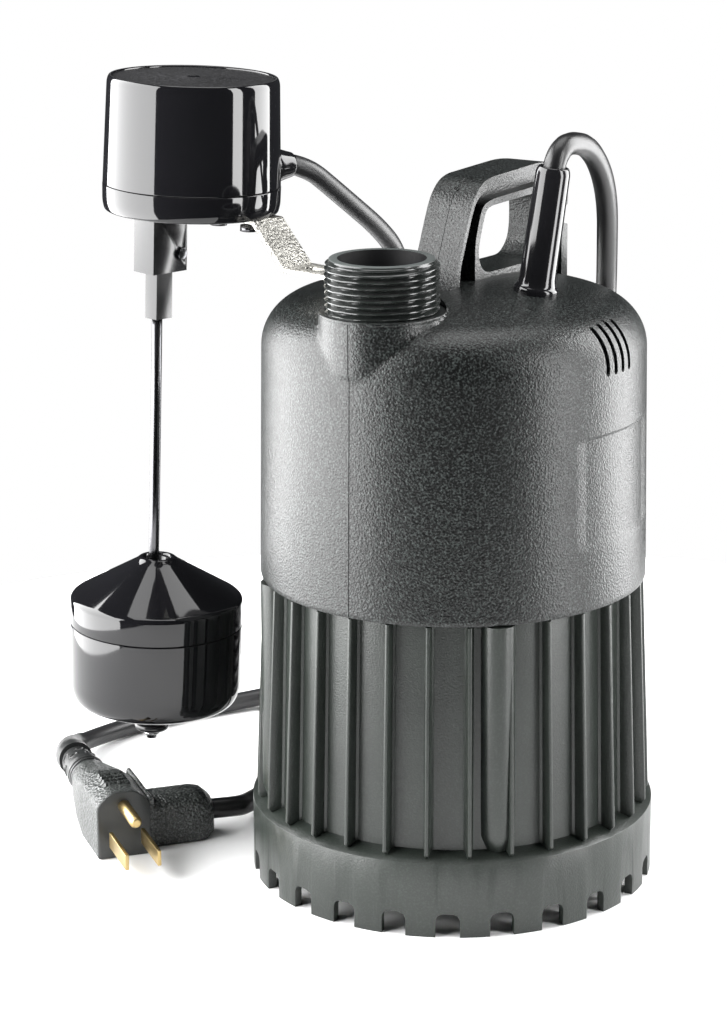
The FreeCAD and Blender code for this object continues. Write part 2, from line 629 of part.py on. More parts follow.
def make_switch_case():
    tray = cylinder("tray_disc", "cap_radius", "switch_seam - switch_bottom", "0", "0",
                    "switch_bottom")
    tray_hollow = cylinder("tray_hollow", "cap_radius - 2.4", "9", "0", "0", "switch_bottom + 2.4")
    plunger_hole = cylinder("tray_plunger_hole", "2.4", "6", ROD_X, "0", "switch_bottom - 1")
    screw_holes = [cylinder("tray_screw_hole_%d" % index, "1.6", "6", x, "-10.5",
                            "switch_bottom - 1") for index, x in enumerate(("-20", "-4"))]
    node(cut("tray_cut", tray, tray_hollow, plunger_hole, *screw_holes), "switch_base", LEANING)
    shell = turned("cap_turned", [
        ("0", "switch_top - 2.6"), ("cap_radius - 3.4", "switch_top - 2.6"),
        ("cap_radius - 2.6", "switch_seam"), ("cap_radius", "switch_seam"),
        ("cap_radius - 0.6", "switch_top - 1.8"), ("cap_radius - 1.2", "switch_top - 0.5"),
        ("cap_radius - 2.6", "switch_top"), ("0", "switch_top")])
    turn = Rotation(Vector(0, 0, 1), -109).multiply(Rotation(Vector(0, 1, 0), 90))
    cord_hole = cylinder("cap_cord_hole", "4.5", "40", "0", "0", "266", turn)
    node(cut("cap_cut_out", shell, cord_hole), "switch_housing", LEANING)


def make_snap_switch():
    body = box("snap_body", "28", "16", "20", "rod_offset - 6", "0", "switch_bottom + 4")
    hole = cylinder("snap_hole", "1.65", "16", ROD_X, "0", "switch_bottom")
    pegs = [cylinder("snap_peg_%d" % index, "2.4", "1.6", x, y, "switch_bottom + 2.4")
            for index, (x, y) in enumerate((("5", "5"), ("5", "-5")))]
    node(cut("snap_cut", fuse("snap_blank", body, *pegs), hole), "snap_switch", LEANING)
    tip = cylinder("plunger_stem", "1.6", "21.8", ROD_X, "0", "235.2")
    node(tip, "switch_plunger", LEANING)


def make_guide():
    block = box("guide_blank", "10.9", "17.4", "switch_bottom - 224.7", ROD_X, "-1.3", "224.7")
    cavity = box("guide_cavity", "7.7", "14.8", "30", ROD_X, "-1.6", "226.2")
    mouth = box("guide_mouth", "6.9", "8.7", "6", ROD_X, "-0.65", "222")
    turn = Rotation(Vector(0, 1, 0), 90)
    pin_hole = cylinder("guide_pin_hole", "1.25", "20", "rod_offset - 10", "-7.2", "231.5", turn)
    node(cut("guide_cut", block, cavity, mouth, pin_hole), "guide_block", LEANING)
    pin = cylinder("pin_shank", "1.25", "11.3", "rod_offset - 5.85", "-7.2", "231.5", turn)
    head = cylinder("pin_head", "2.3", "0.9", "rod_offset - 6.35", "-7.2", "231.5", turn)
    node(fuse("pin_whole", pin, head), "guide_pin", LEANING)
    hub = cylinder("lever_hub", "1.7", "6.4", "rod_offset - 3.2", "-7.2", "231.5", turn)
    arm = box("lever_arm", "5", "12", "1.6", ROD_X, "-1.2", "232.3")
    bore = cylinder("lever_bore", "1.3", "20", "rod_offset - 10", "-7.2", "231.5", turn)
    node(cut("lever_cut", fuse("lever_blank", hub, arm), bore), "switch_lever", LEANING)


def make_rod():
    stem = box("holder_stem", "6.4", "8.1", "20.5", ROD_X, "-0.65", "206.5")
    head = box("holder_head", "6.9", "9.9", "2.7", ROD_X, "0.25", "226.3")
    nub = cylinder("holder_nub", "1.2", "3.1", ROD_X, "0", "228.9")
    bore = cylinder("holder_bore", "rod_radius", "12", ROD_X, "0", "205")
    node(cut("holder_cut", fuse("holder_blank", stem, head, nub), bore), "rod_holder", LEANING)
    node(cylinder("rod_bar", "rod_radius", "217 - rod_end", ROD_X, "0", "rod_end"), "float_rod",
         LEANING)
    stop = cone("stop_dish", "4", "6.9", "3.8", ROD_X, "0", "stop_foot")
    node(cut("stop_cut", stop, cylinder("stop_bore", "rod_radius", "8", ROD_X, "0", "stop_foot - 2")),
         "float_stop", LEANING)
    node(tube("clip_ring", "3.1", "rod_radius", "1", ROD_X, "0", "stop_foot - 1"), "stop_clip",
         LEANING)


def float_frame():
    """The float hangs loosely on the rod, to one side of the rod's axis."""
    return LEANING.multiply(Placement(Vector(value("rod_offset") - 1.0, -0.85, 0), Rotation()))


def make_float():
    wall = " - 2"
    upper = turned("float_upper", [
        ("sleeve_radius", "float_crest"), ("sleeve_radius", "float_crest - 4"),
        ("float_radius" + wall, "float_shoulder - 1.4"), ("float_radius" + wall, "float_seam"),
        ("float_radius", "float_seam"), ("float_radius", "float_shoulder - 0.7"),
        ("float_radius - 0.6", "float_shoulder"), ("7", "float_crest - 0.6"),
        ("6.4", "float_crest")])
    node(upper, "float_top", float_frame())
    lower = turned("float_lower", [
        ("sleeve_radius", "float_bottom"), ("22", "float_bottom"), ("27.4", "float_bottom + 1.6"),
        ("31.2", "float_bottom + 5"), ("33", "float_bottom + 10"), ("float_radius", "float_seam"),
        ("float_radius" + wall, "float_seam"), ("31", "float_bottom + 11"),
        ("27", "float_bottom + 4"), ("22", "float_bottom + 2"),
        ("sleeve_radius", "float_bottom + 2")])
    node(lower, "float_bottom", float_frame())
    node(tube("sleeve_tube", "sleeve_radius", "rod_radius + 1.4", "float_crest - sleeve_foot - 1",
              "0", "0", "sleeve_foot"), "float_sleeve", float_frame())


def make_strap():
    """A bent flat strip: flat on the cover's boss, rising, then flat under the switch."""
    thick = value("strap_thick")
    lower = [(-75.0, 232.0), (-46.6, 232.0), (-31.0, 247.9), (3.0, 248.9)]
    upper = [(3.0, 251.2), (-31.8, 250.0), (-47.3, 232.0 + thick), (-75.0, 232.0 + thick)]
    corners = [Vector(x, -3.0, z) for x, z in lower + upper]
    wire = Part.makePolygon(corners + corners[:1])
    strip = Part.Face(wire).extrude(Vector(0, -value("strap_wide"), 0))
    blank = solid("strap_blank", strip)
    blank.Placement = UPRIGHT
    above = box("strap_limit", "90", "90", "20", "0", "0", "switch_bottom")
    moved(above, LEANING)
    lower_hole = cylinder("strap_lower_hole", "1.8", "8", STRAP_SCREW[0], STRAP_SCREW[1], "229")
    slot = fuse("strap_slot", *[cylinder("strap_slot_%d" % index, "2.2", "8", x, "-10.5", "229")
                                for index, x in enumerate(("-58", "-57", "-56", "-55", "-54"))])
    slot.Placement = UPRIGHT
    upper_holes = fuse("strap_upper_holes", *[
        cylinder("strap_upper_hole_%d" % index, "1.6", "12", x, "-10.5", "244")
        for index, x in enumerate(("-20", "-4"))])
    upper_holes.Placement = LEANING
    node(cut("strap_cut", blank, above, lower_hole, slot, upper_holes), "mounting_strap")
    head = cylinder("strap_screw_head", "3.6", "2.2", STRAP_SCREW[0], STRAP_SCREW[1],
                    "232 + strap_thick")
    shank = cylinder("strap_screw_shank", "1.6", "14", STRAP_SCREW[0], STRAP_SCREW[1], "220.5")
    node(fuse("strap_screw_whole", head, shank), "strap_screw")
    screws = []
    for index, x in enumerate(("-20", "-4")):
        stem = cylinder("case_screw_shank_%d" % index, "1.6", "10", x, "-10.5", "245")
        knob = cylinder("case_screw_head_%d" % index, "3.2", "2.2", x, "-10.5", "244.6")
        screws.append(fuse("case_screw_%d" % index, stem, knob))
    node(fuse("case_screws_whole", *screws), "case_screws", LEANING)


# ---------------------------------------------------------------- cords
def view_frame(x, y, z):
    """A point given across and away from the front-right corner view, on the pump's axis."""
    turn = math.radians(31.0)
    return Vector(x * math.cos(turn) - y * math.sin(turn), x * math.sin(turn) + y * math.cos(turn), z)


POWER_LEAD = [(37.13, 6.31, 267.84), (37.69, 6.65, 272.8), (37.99, 9.45, 276.92),
              (38.12, 13.85, 279.27), (38.3, 20.9, 279.3), (38.4, 29.8, 277.0), (37.8, 39.2, 270.2),
              (35.9, 48.6, 260.6), (31.6, 59.6, 248.6), (25.0, 72.3, 233.0), (17.6, 86.3, 213.5),
              (12.5, 94.5, 188.0), (9.2, 100.0, 155.0), (6.6, 103.2, 118.0), (3.6, 106.6, 80.0),
              (-3.6, 109.0, 50.0), (-18.0, 107.5, 32.5), (-41.2, 97.7, 28.7)]
POWER_TAIL = [(-41.2, 97.7, 4.2), (-62.0, 82.0, 4.2), (-80.0, 60.0, 4.2), (-91.0, 34.0, 4.2),
              (-94.0, 12.0, 4.3), (-91.2, -8.0, 5.8), (-88.4, -19.6, 8.8), (-95.8, -29.4, 9.6)]
SWITCH_LEAD = [(-75.41, 5.33, 264.15), (-71.9, 11.6, 262.2), (-69.6, 23.5, 253.6),
               (-67.2, 36.5, 244.0), (-65.3, 50.0, 234.4), (-64.6, 62.5, 223.6),
               (-64.2, 70.6, 205.0), (-64.0, 74.2, 178.0), (-64.2, 76.0, 148.0),
               (-65.0, 77.2, 120.0), (-67.0, 79.0, 94.0), (-66.0, 84.6, 75.5),
               (-57.5, 92.5, 63.3), (-42.5, 99.8, 60.1)]
SWITCH_TAIL = [(-86.3, 172.7, 36.7), (-106.0, 161.5, 36.7), (-123.0, 149.0, 30.0),
               (-139.0, 133.0, 16.0), (-154.5, 112.5, 5.6), (-170.0, 90.0, 4.0),
               (-182.5, 65.0, 4.0), (-190.5, 40.0, 4.0), (-191.5, 15.0, 5.6),
               (-184.0, -8.3, 10.4), (-167.5, -21.3, 13.2)]


def cord_tube(label, points, diameter):
    """Straight runs joined by tangent arcs, swept by a round section."""
    places = [Vector(*point) for point in points]
    edges, radii, start = [], [], places[0]
    length = 0.0
    for before, corner, after in zip(places, places[1:], places[2:]):
        inward, onward = corner - before, after - corner
        turn = inward.getAngle(onward)
        shorter = min(inward.Length, onward.Length)
        reach = 0.45 * shorter
        radii.append(reach / math.tan(turn / 2))
        inward.normalize()
        onward.normalize()
        arc_start, arc_end = corner - inward * reach, corner + onward * reach
        inner = (onward - inward).normalize()
        sagitta = radii[-1] * (1 / math.cos(turn / 2) - 1)
        arc = Part.Arc(arc_start, corner + inner * sagitta, arc_end).toShape()
        edges += [Part.LineSegment(start, arc_start).toShape(), arc]
        length += edges[-2].Length + arc.Length
        start = arc_end
    edges.append(Part.LineSegment(start, places[-1]).toShape())
    length += edges[-1].Length
    heading = (places[1] - places[0]).normalize()
    section = Part.Wire([Part.makeCircle(diameter / 2, places[0], heading)])
    pipe = Part.Wire(edges).makePipeShell([section], True, False)
    print("%s length %.0f, volume ratio %.4f, radii %s" % (
        label, length, pipe.Volume / (math.pi * diameter ** 2 / 4 * length),
        " ".join("%.0f" % radius for radius in radii)))
    return pipe


COIL_CENTRE = (15.0, 150.0)
POWER_COIL_RING = 41.0
SWITCH_COIL_RING = 39.0
COIL_LAYERS = 4


def coil_ring(label, ring, wide, foot, tall):
    """The outer shape of a flat coil: a ring with rounded corners."""
    centre = view_frame(COIL_CENTRE[0], COIL_CENTRE[1], foot)
    blank = tube(label + "_blank", str(ring + wide / 2), str(ring - wide / 2), str(tall),
                 str(round(centre.x, 3)), str(round(centre.y, 3)), str(foot))
    return rounded(label + "_round", blank, is_circle, 0.21 * min(wide, tall))


def make_cords(boots):
    thick, slim = value("power_cord"), value("switch_cord")
    power_coil = coil_ring("power_coil", POWER_COIL_RING, 2 * thick, 0.0, COIL_LAYERS * thick)
    switch_coil = coil_ring("switch_coil", SWITCH_COIL_RING, 2 * slim, COIL_LAYERS * thick,
                            COIL_LAYERS * slim)
    doc.recompute()
    for name, points, size, coil in (("power_cord_lead", POWER_LEAD, thick, power_coil),
                                     ("power_cord_tail", POWER_TAIL, thick, power_coil),
                                     ("switch_cord_lead", SWITCH_LEAD, slim, switch_coil),
                                     ("switch_cord_tail", SWITCH_TAIL, slim, switch_coil)):
        trimmed = cord_tube(name, points, size)
        for other in (coil, power_coil) + tuple(boots):
            trimmed = trimmed.cut(other.Shape)
        solids = sorted(trimmed.Solids, key=lambda part: part.Volume)
        node(solid(name, solids[-1]), name)
    node(power_coil, "power_cord_coil")
    node(switch_coil, "switch_cord_coil")


def make_boots(cover_outside):
    foot = Vector(float(BOOT_FOOT[0]), float(BOOT_FOOT[1]), 226.8)
    tip = Vector(*BOOT_TIP)
    lean = Rotation(Vector(0, 0, 1), tip - foot)
    boot = turned("boot_turned", [
        ("0", "-2"), ("7.6", "-2"), ("7.6", "2.2"), ("6.8", "3.2"), ("6.6", "30"), ("6.4", "45"),
        ("5.8", "45.6"), ("4.4", "45.6"), ("4.4", "boot_socket"), ("0", "boot_socket")])
    boot.Placement = Placement(foot, lean)
    plug = cylinder("boot_plug", "4", "8", BOOT_FOOT[0], BOOT_FOOT[1], "222")
    power_boot = fuse("boot_whole", cut("boot_seated", boot, cover_outside), plug)
    node(power_boot, "power_cord_boot")
    turn = Rotation(Vector(0, 0, 1), -109).multiply(Rotation(Vector(0, 1, 0), 90))
    heading = Rotation(Vector(0, 0, 1), -109).multVec(Vector(1, 0, 0)) * 30.6
    sleeve = turned("switch_boot_turned", [
        ("0", "-3"), ("4.4", "-3"), ("4.4", "2.6"), ("6.4", "2.6"), ("6.2", "6.5"), ("5.2", "9.6"),
        ("4", "11"), ("0", "11")])
    node(sleeve, "switch_cord_boot",
         LEANING.multiply(Placement(heading + Vector(0, 0, 266), turn)))
    return [power_boot, sleeve]


# ---------------------------------------------------------------- plugs
PLUG_FACE = Vector(-107.5, -68.0, 0)
PLUG_AHEAD = Vector(0.789, -0.614, 0)


def plug_frame():
    """X ahead along the blades, Y to the left of them, Z up, origin under the face's middle."""
    heading = math.degrees(math.atan2(PLUG_AHEAD.y, PLUG_AHEAD.x))
    return Placement(PLUG_FACE, Rotation(Vector(0, 0, 1), heading))


def lofted(label, stations):
    """A body through cross-sections: (x, half width, bottom, shoulder, top) each."""
    wires = []
    for x, half, bottom, shoulder, top in stations:
        corner = 0.45 * half
        points = [(-half, bottom), (half, bottom), (half, shoulder), (corner, top), (-corner, top),
                  (-half, shoulder)]
        places = [Vector(x, y, z) for y, z in points]
        wires.append(Part.makePolygon(places + places[:1]))
    return solid(label, Part.makeLoft(wires, True, True))


def make_plugs():
    frame = plug_frame()
    piggyback = lofted("piggyback_block", [
        (-54, 7.4, 6.4, 16.0, 21.0), (-38, 10.2, 3.6, 19.0, 24.0), (-26, 10.7, 0, 22, 27),
        (0, 10.7, 0, 22, 27)])
    relief = cone("relief_cone", "5.4", "7.2", "22", "-76", "0", "13.2", Rotation(Vector(0, 1, 0), 90))
    ledge = box("ledge", "34", "2", "22", "-19", "11.6", "0.5")
    receptacle = [box("receptacle_slot_%d" % index, "2", "16", "7", x, "6.5", "6.3")
                  for index, x in enumerate(("-20.85", "-8.15"))]
    earth = cylinder("receptacle_earth", "2.5", "16", "-14.5", "-1.5", "17.6",
                     Rotation(Vector(1, 0, 0), -90))
    sockets = [box("blade_socket_%d" % index, "8", "1.6", "6.4", "-3", y, "6.2")
               for index, y in enumerate(("-6.35", "6.35"))]
    ground_socket = cylinder("ground_socket", "2.4", "8", "-7", "0", "21.2",
                             Rotation(Vector(0, 1, 0), 90))
    blank = fuse("piggyback_blank", piggyback, relief, ledge)
    node(cut("piggyback_cut", blank, ground_socket, earth, *(receptacle + sockets)),
         "piggyback_plug", frame)
    blades = [box("blade_%d" % index, "blade_long + 7", "1.5", "6.3", "0.5*blade_long - 3.5", y,
                  "6.25") for index, y in enumerate(("-6.35", "6.35"))]
    ground = fuse("ground_pin", cylinder("ground_shank", "2.38", "25", "-7", "0", "21.2",
                                         Rotation(Vector(0, 1, 0), 90)),
                  cone("ground_tip", "2.38", "1.6", "1.4", "18", "0", "21.2",
                       Rotation(Vector(0, 1, 0), 90)))
    node(fuse("blades_whole", ground, *blades), "piggyback_blades", frame)
    make_pump_plug(frame)


def make_pump_plug(frame):
    """The pump's own plug, pushed into the side of the piggyback plug."""
    body = box("pump_plug_body", "19", "20", "19.5", "-14.5", "22.6", "0.1")
    taper = lofted("pump_plug_taper", [(0, 9.5, 0.1, 15, 19.6), (5, 6.6, 2.2, 12, 17)])
    taper.Placement = Placement(Vector(-14.5, 32.6, 0), Rotation(Vector(0, 0, 1), 90))
    node(fuse("pump_plug_whole", body, taper), "pump_plug", frame)
    blades = [box("pump_blade_%d" % index, "1.5", "12.8", "6.3", x, "6.2", "6.6")
              for index, x in enumerate(("-20.85", "-8.15"))]
    pin = cylinder("pump_pin", "2.3", "12.8", "-14.5", "-0.2", "17.6",
                   Rotation(Vector(1, 0, 0), -90))
    node(fuse("pump_blades_whole", pin, *blades), "pump_plug_blades", frame)


# ---------------------------------------------------------------- build, check and write
def build():
    make_base()
    make_lower_housing()
    make_housing_screws()
    cover_outside = make_upper_cover()
    make_handle(cover_outside)
    make_handle_screws()
    make_riser()
    make_volute()
    make_intake_plate()
    make_volute_screws()
    make_seal_plate()
    make_shaft_seal()
    make_impeller()
    make_shaft()
    make_motor()
    make_switch_case()
    make_snap_switch()
    make_guide()
    make_rod()
    make_float()
    make_strap()
    make_cords(make_boots(cover_outside))
    make_plugs()


def check_and_write():
    doc.recompute()
    for item in doc.Objects:
        if "Invalid" in item.State or "Error" in item.State:
            raise RuntimeError("%s failed: %s" % (item.Label, item.State))
    os.makedirs("parts", exist_ok=True)
    for item in NODES:
        shape = item.Shape
        if shape.isNull() or not shape.isValid():
            raise RuntimeError("%s has no valid shape" % item.Label)
        shape.exportStep("parts/%s.step" % item.Label)
        print("%-20s %2d solids %10.1f mm3" % (item.Label, len(shape.Solids), shape.Volume))


build()
check_and_write()
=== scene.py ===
"""Looks of a submersible sump pump with a float switch, in metres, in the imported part's frame."""
import json
import math

import bmesh
import bpy
import numpy as np
from mathutils import Euler, Matrix, Vector


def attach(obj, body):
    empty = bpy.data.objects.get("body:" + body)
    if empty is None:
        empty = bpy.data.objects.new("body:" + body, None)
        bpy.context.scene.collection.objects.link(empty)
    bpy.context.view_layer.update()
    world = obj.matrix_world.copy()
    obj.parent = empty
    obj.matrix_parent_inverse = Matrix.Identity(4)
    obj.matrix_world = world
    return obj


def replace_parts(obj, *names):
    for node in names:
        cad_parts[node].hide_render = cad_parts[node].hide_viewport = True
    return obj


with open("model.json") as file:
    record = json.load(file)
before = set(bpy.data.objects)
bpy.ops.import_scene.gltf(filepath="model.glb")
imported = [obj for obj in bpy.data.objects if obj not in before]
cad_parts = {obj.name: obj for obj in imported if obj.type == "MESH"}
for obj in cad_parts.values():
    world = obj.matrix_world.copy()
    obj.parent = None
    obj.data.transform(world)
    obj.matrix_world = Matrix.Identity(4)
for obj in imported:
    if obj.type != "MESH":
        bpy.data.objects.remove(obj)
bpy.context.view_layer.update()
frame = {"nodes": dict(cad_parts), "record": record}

MM = 0.001
NODES = frame["nodes"]


def link_object(name, data):
    """Makes an object of some data and puts it in the scene."""
    item = bpy.data.objects.new(name, data)
    bpy.context.scene.collection.objects.link(item)
    return item


# ---- camera
CAMERA_PLACE = (0.5424, -0.9027, 0.4376)
CAMERA_TILT, CAMERA_HEADING, CAMERA_ROLL = 74.252, 32.834, -0.258
SENSOR_HEIGHT, LENS = 36.0, 102.75


def make_camera():
    data = bpy.data.cameras.new("camera")
    data.sensor_fit = "VERTICAL"
    data.sensor_height = SENSOR_HEIGHT
    data.lens = LENS
    data.clip_start, data.clip_end = 0.01, 50.0
    camera = link_object("camera", data)
    turn = Euler((math.radians(CAMERA_TILT), 0.0, math.radians(CAMERA_HEADING)))
    roll = Matrix.Rotation(math.radians(CAMERA_ROLL), 4, "Z")
    camera.matrix_world = Matrix.Translation(CAMERA_PLACE) @ turn.to_matrix().to_4x4() @ roll
    bpy.context.scene.camera = camera


# ---- lights, floor and surroundings
VIEWER_TURN = math.radians(31.0)
FLOOR_RADIUS = 0.42


def area_light(name, place, aim, width, height, power):
    data = bpy.data.lights.new(name, "AREA")
    data.shape = "RECTANGLE"
    data.size, data.size_y = width, height
    data.energy = power
    light = link_object(name, data)
    light.location = place
    light.rotation_euler = (Vector(aim) - Vector(place)).to_track_quat("-Z", "Y").to_euler()
    light.visible_camera = False


def corner_view(across, away, up):
    """A place given across and away from the viewer's side, which is turned 31 degrees."""
    return (across * math.cos(VIEWER_TURN) - away * math.sin(VIEWER_TURN),
            across * math.sin(VIEWER_TURN) + away * math.cos(VIEWER_TURN), up)


def panel(name, across, away, up, width, height, radiance):
    """A soft box that faces the pump, as bright as a sheet of that radiance."""
    place = corner_view(across, away, up)
    area_light(name, place, (0, 0, up), width, height, radiance * math.pi * width * height)


def make_lights():
    panel("left_box", -0.85, 0.0, 0.25, 1.5, 1.9, 11.0)
    panel("right_front_box", 0.85, -0.42, 0.25, 0.26, 1.6, 13.0)
    panel("right_back_box", 0.75, 0.30, 0.25, 0.50, 1.6, 11.0)
    area_light("top_box", corner_view(0.0, 0.15, 1.3), (0, 0, 0.15), 0.9, 0.9, 9.0)


def make_world():
    """A dark room; what the camera sees past the floor is white paper."""
    world = bpy.data.worlds.new("studio")
    bpy.context.scene.world = world
    world.use_nodes = True
    nodes, links = world.node_tree.nodes, world.node_tree.links
    nodes.clear()
    out = nodes.new("ShaderNodeOutputWorld")
    mix = nodes.new("ShaderNodeMixShader")
    path = nodes.new("ShaderNodeLightPath")
    room = nodes.new("ShaderNodeBackground")
    paper = nodes.new("ShaderNodeBackground")
    room.inputs["Color"].default_value = (0.03, 0.032, 0.034, 1)
    paper.inputs["Color"].default_value = (1, 1, 1, 1)
    links.new(path.outputs["Is Camera Ray"], mix.inputs["Fac"])
    links.new(room.outputs[0], mix.inputs[1])
    links.new(paper.outputs[0], mix.inputs[2])
    links.new(mix.outputs[0], out.inputs["Surface"])


def make_floor():
    mesh = bpy.data.meshes.new("floor")
    edit = bmesh.new()
    bmesh.ops.create_circle(edit, cap_ends=True, radius=FLOOR_RADIUS, segments=96)
    edit.to_mesh(mesh)
    edit.free()
    floor = link_object("floor", mesh)
    surface = bpy.data.materials.new("floor")
    surface.use_nodes = True
    shader = surface.node_tree.nodes["Principled BSDF"]
    shader.inputs["Base Color"].default_value = (0.92, 0.92, 0.92, 1)
    shader.inputs["Roughness"].default_value = 0.7
    shader.inputs["Specular IOR Level"].default_value = 0.1
    mesh.materials.append(surface)


# ---- materials
CLOUD_SCALE, GLOSS_SCALE, WAVE_SCALE, GLINT_FLECK_SCALE, DENT_SCALE = 38.0, 95.0, 16.0, 1300.0, 900.0
STREAK_DEPTH, DENT_DEPTH = 0.05, 1.2


def noise(nodes, links, place, scale, detail):
    """The value of a noise over a surface's own coordinates."""
    texture = nodes.new("ShaderNodeTexNoise")
    texture.inputs["Scale"].default_value = scale
    texture.inputs["Detail"].default_value = detail
    links.new(place, texture.inputs["Vector"])
    return texture.outputs["Fac"]


def moulded(name, colour, roughness, variation=0.12, grain=0.0, grain_size=0.9, waviness=0.0,
            metallic=0.0, scuff=0.06, specular=0.5, glint_fleck=0.0):
    """A moulded or metal surface: mottled colour, uneven gloss, a pebbled grain and slow waves."""
    surface = bpy.data.materials.new(name)
    surface.use_nodes = True
    nodes, links = surface.node_tree.nodes, surface.node_tree.links
    shader = nodes["Principled BSDF"]
    shader.inputs["Metallic"].default_value = metallic
    shader.inputs["Specular IOR Level"].default_value = specular
    place = nodes.new("ShaderNodeTexCoord").outputs["Object"]
    cloud = noise(nodes, links, place, CLOUD_SCALE, 6.0)
    shade = nodes.new("ShaderNodeValToRGB")
    low, high = shade.color_ramp.elements[0], shade.color_ramp.elements[1]
    low.position, high.position = 0.3, 0.72
    low.color = [c * (1 - variation) for c in colour] + [1]
    high.color = [min(1, c * (1 + variation)) for c in colour] + [1]
    links.new(cloud, shade.inputs["Fac"])
    tint = shade.outputs["Color"]
    # pale flecks brighten the colour as painted glints; dark ones vary its tone
    if glint_fleck:
        tint = glinting_flecks(nodes, links, place, tint, glint_fleck)
    links.new(tint, shader.inputs["Base Color"])
    gloss = nodes.new("ShaderNodeMapRange")
    gloss.inputs["To Min"].default_value = max(0.02, roughness - scuff)
    gloss.inputs["To Max"].default_value = roughness + scuff
    links.new(noise(nodes, links, place, GLOSS_SCALE, 8.0), gloss.inputs["Value"])
    links.new(gloss.outputs["Result"], shader.inputs["Roughness"])
    normal = None
    if waviness:
        normal = bump(nodes, links, noise(nodes, links, place, WAVE_SCALE, 1.0), waviness)
    if grain:
        pebble = nodes.new("ShaderNodeTexVoronoi")
        pebble.feature = "SMOOTH_F1"
        pebble.inputs["Scale"].default_value = 1000.0 / grain_size
        links.new(place, pebble.inputs["Vector"])
        normal = bump(nodes, links, pebble.outputs["Distance"], grain, normal)
    if normal:
        links.new(normal, shader.inputs["Normal"])
    return surface


def glinting_flecks(nodes, links, place, tint, strength):
    """Pale and dark flecks, each under a millimetre across, over a colour: the dark ones vary its
    tone at random, the pale ones, up to ten times brighter, are painted glints of the pebbled skin.
    """
    dots = noise(nodes, links, place, GLINT_FLECK_SCALE, 1.5)
    level = nodes.new("ShaderNodeMapRange")
    level.inputs["From Min"].default_value = 0.46
    level.inputs["From Max"].default_value = 0.72
    level.inputs["To Min"].default_value = 1.0 - 0.8 * min(1.0, strength)
    level.inputs["To Max"].default_value = 1.0 + 9.0 * strength
    links.new(dots, level.inputs["Value"])
    scaled = nodes.new("ShaderNodeVectorMath")
    scaled.operation = "SCALE"
    links.new(tint, scaled.inputs[0])
    links.new(level.outputs["Result"], scaled.inputs["Scale"])
    return scaled.outputs["Vector"]


def bump(nodes, links, height, depth, before=None):
    """A bump of that depth in millimetres, on top of the one before it."""
    node = nodes.new("ShaderNodeBump")
    node.inputs["Strength"].default_value = 1.0
    node.inputs["Distance"].default_value = depth * MM
    links.new(height, node.inputs["Height"])
    if before:
        links.new(before, node.inputs["Normal"])
    return node.outputs["Normal"]


def rolled_steel(name, colour, roughness, stretch):
    """Metal strip or bar with fine streaks along one axis."""
    surface = moulded(name, colour, roughness, variation=0.1, metallic=1.0, scuff=0.1)
    nodes, links = surface.node_tree.nodes, surface.node_tree.links
    shader = nodes["Principled BSDF"]
    place = nodes.new("ShaderNodeTexCoord")
    scaled = nodes.new("ShaderNodeMapping")
    scaled.inputs["Scale"].default_value = stretch
    links.new(place.outputs["Object"], scaled.inputs["Vector"])
    streaks = noise(nodes, links, scaled.outputs["Vector"], 1.0, 5.0)
    links.new(bump(nodes, links, streaks, STREAK_DEPTH), shader.inputs["Normal"])
    return surface


def crumpled_steel(name, colour, roughness):
    """Bright strip steel with a hammered skin, its glitter partly painted as pale flecks in its
    colour.
    """
    surface = moulded(name, colour, roughness, variation=0.5, metallic=1.0, scuff=0.15,
                      glint_fleck=0.06)
    nodes, links = surface.node_tree.nodes, surface.node_tree.links
    shader = nodes["Principled BSDF"]
    place = nodes.new("ShaderNodeTexCoord").outputs["Object"]
    dents = noise(nodes, links, place, DENT_SCALE, 2.0)
    links.new(bump(nodes, links, dents, DENT_DEPTH), shader.inputs["Normal"])
    return surface
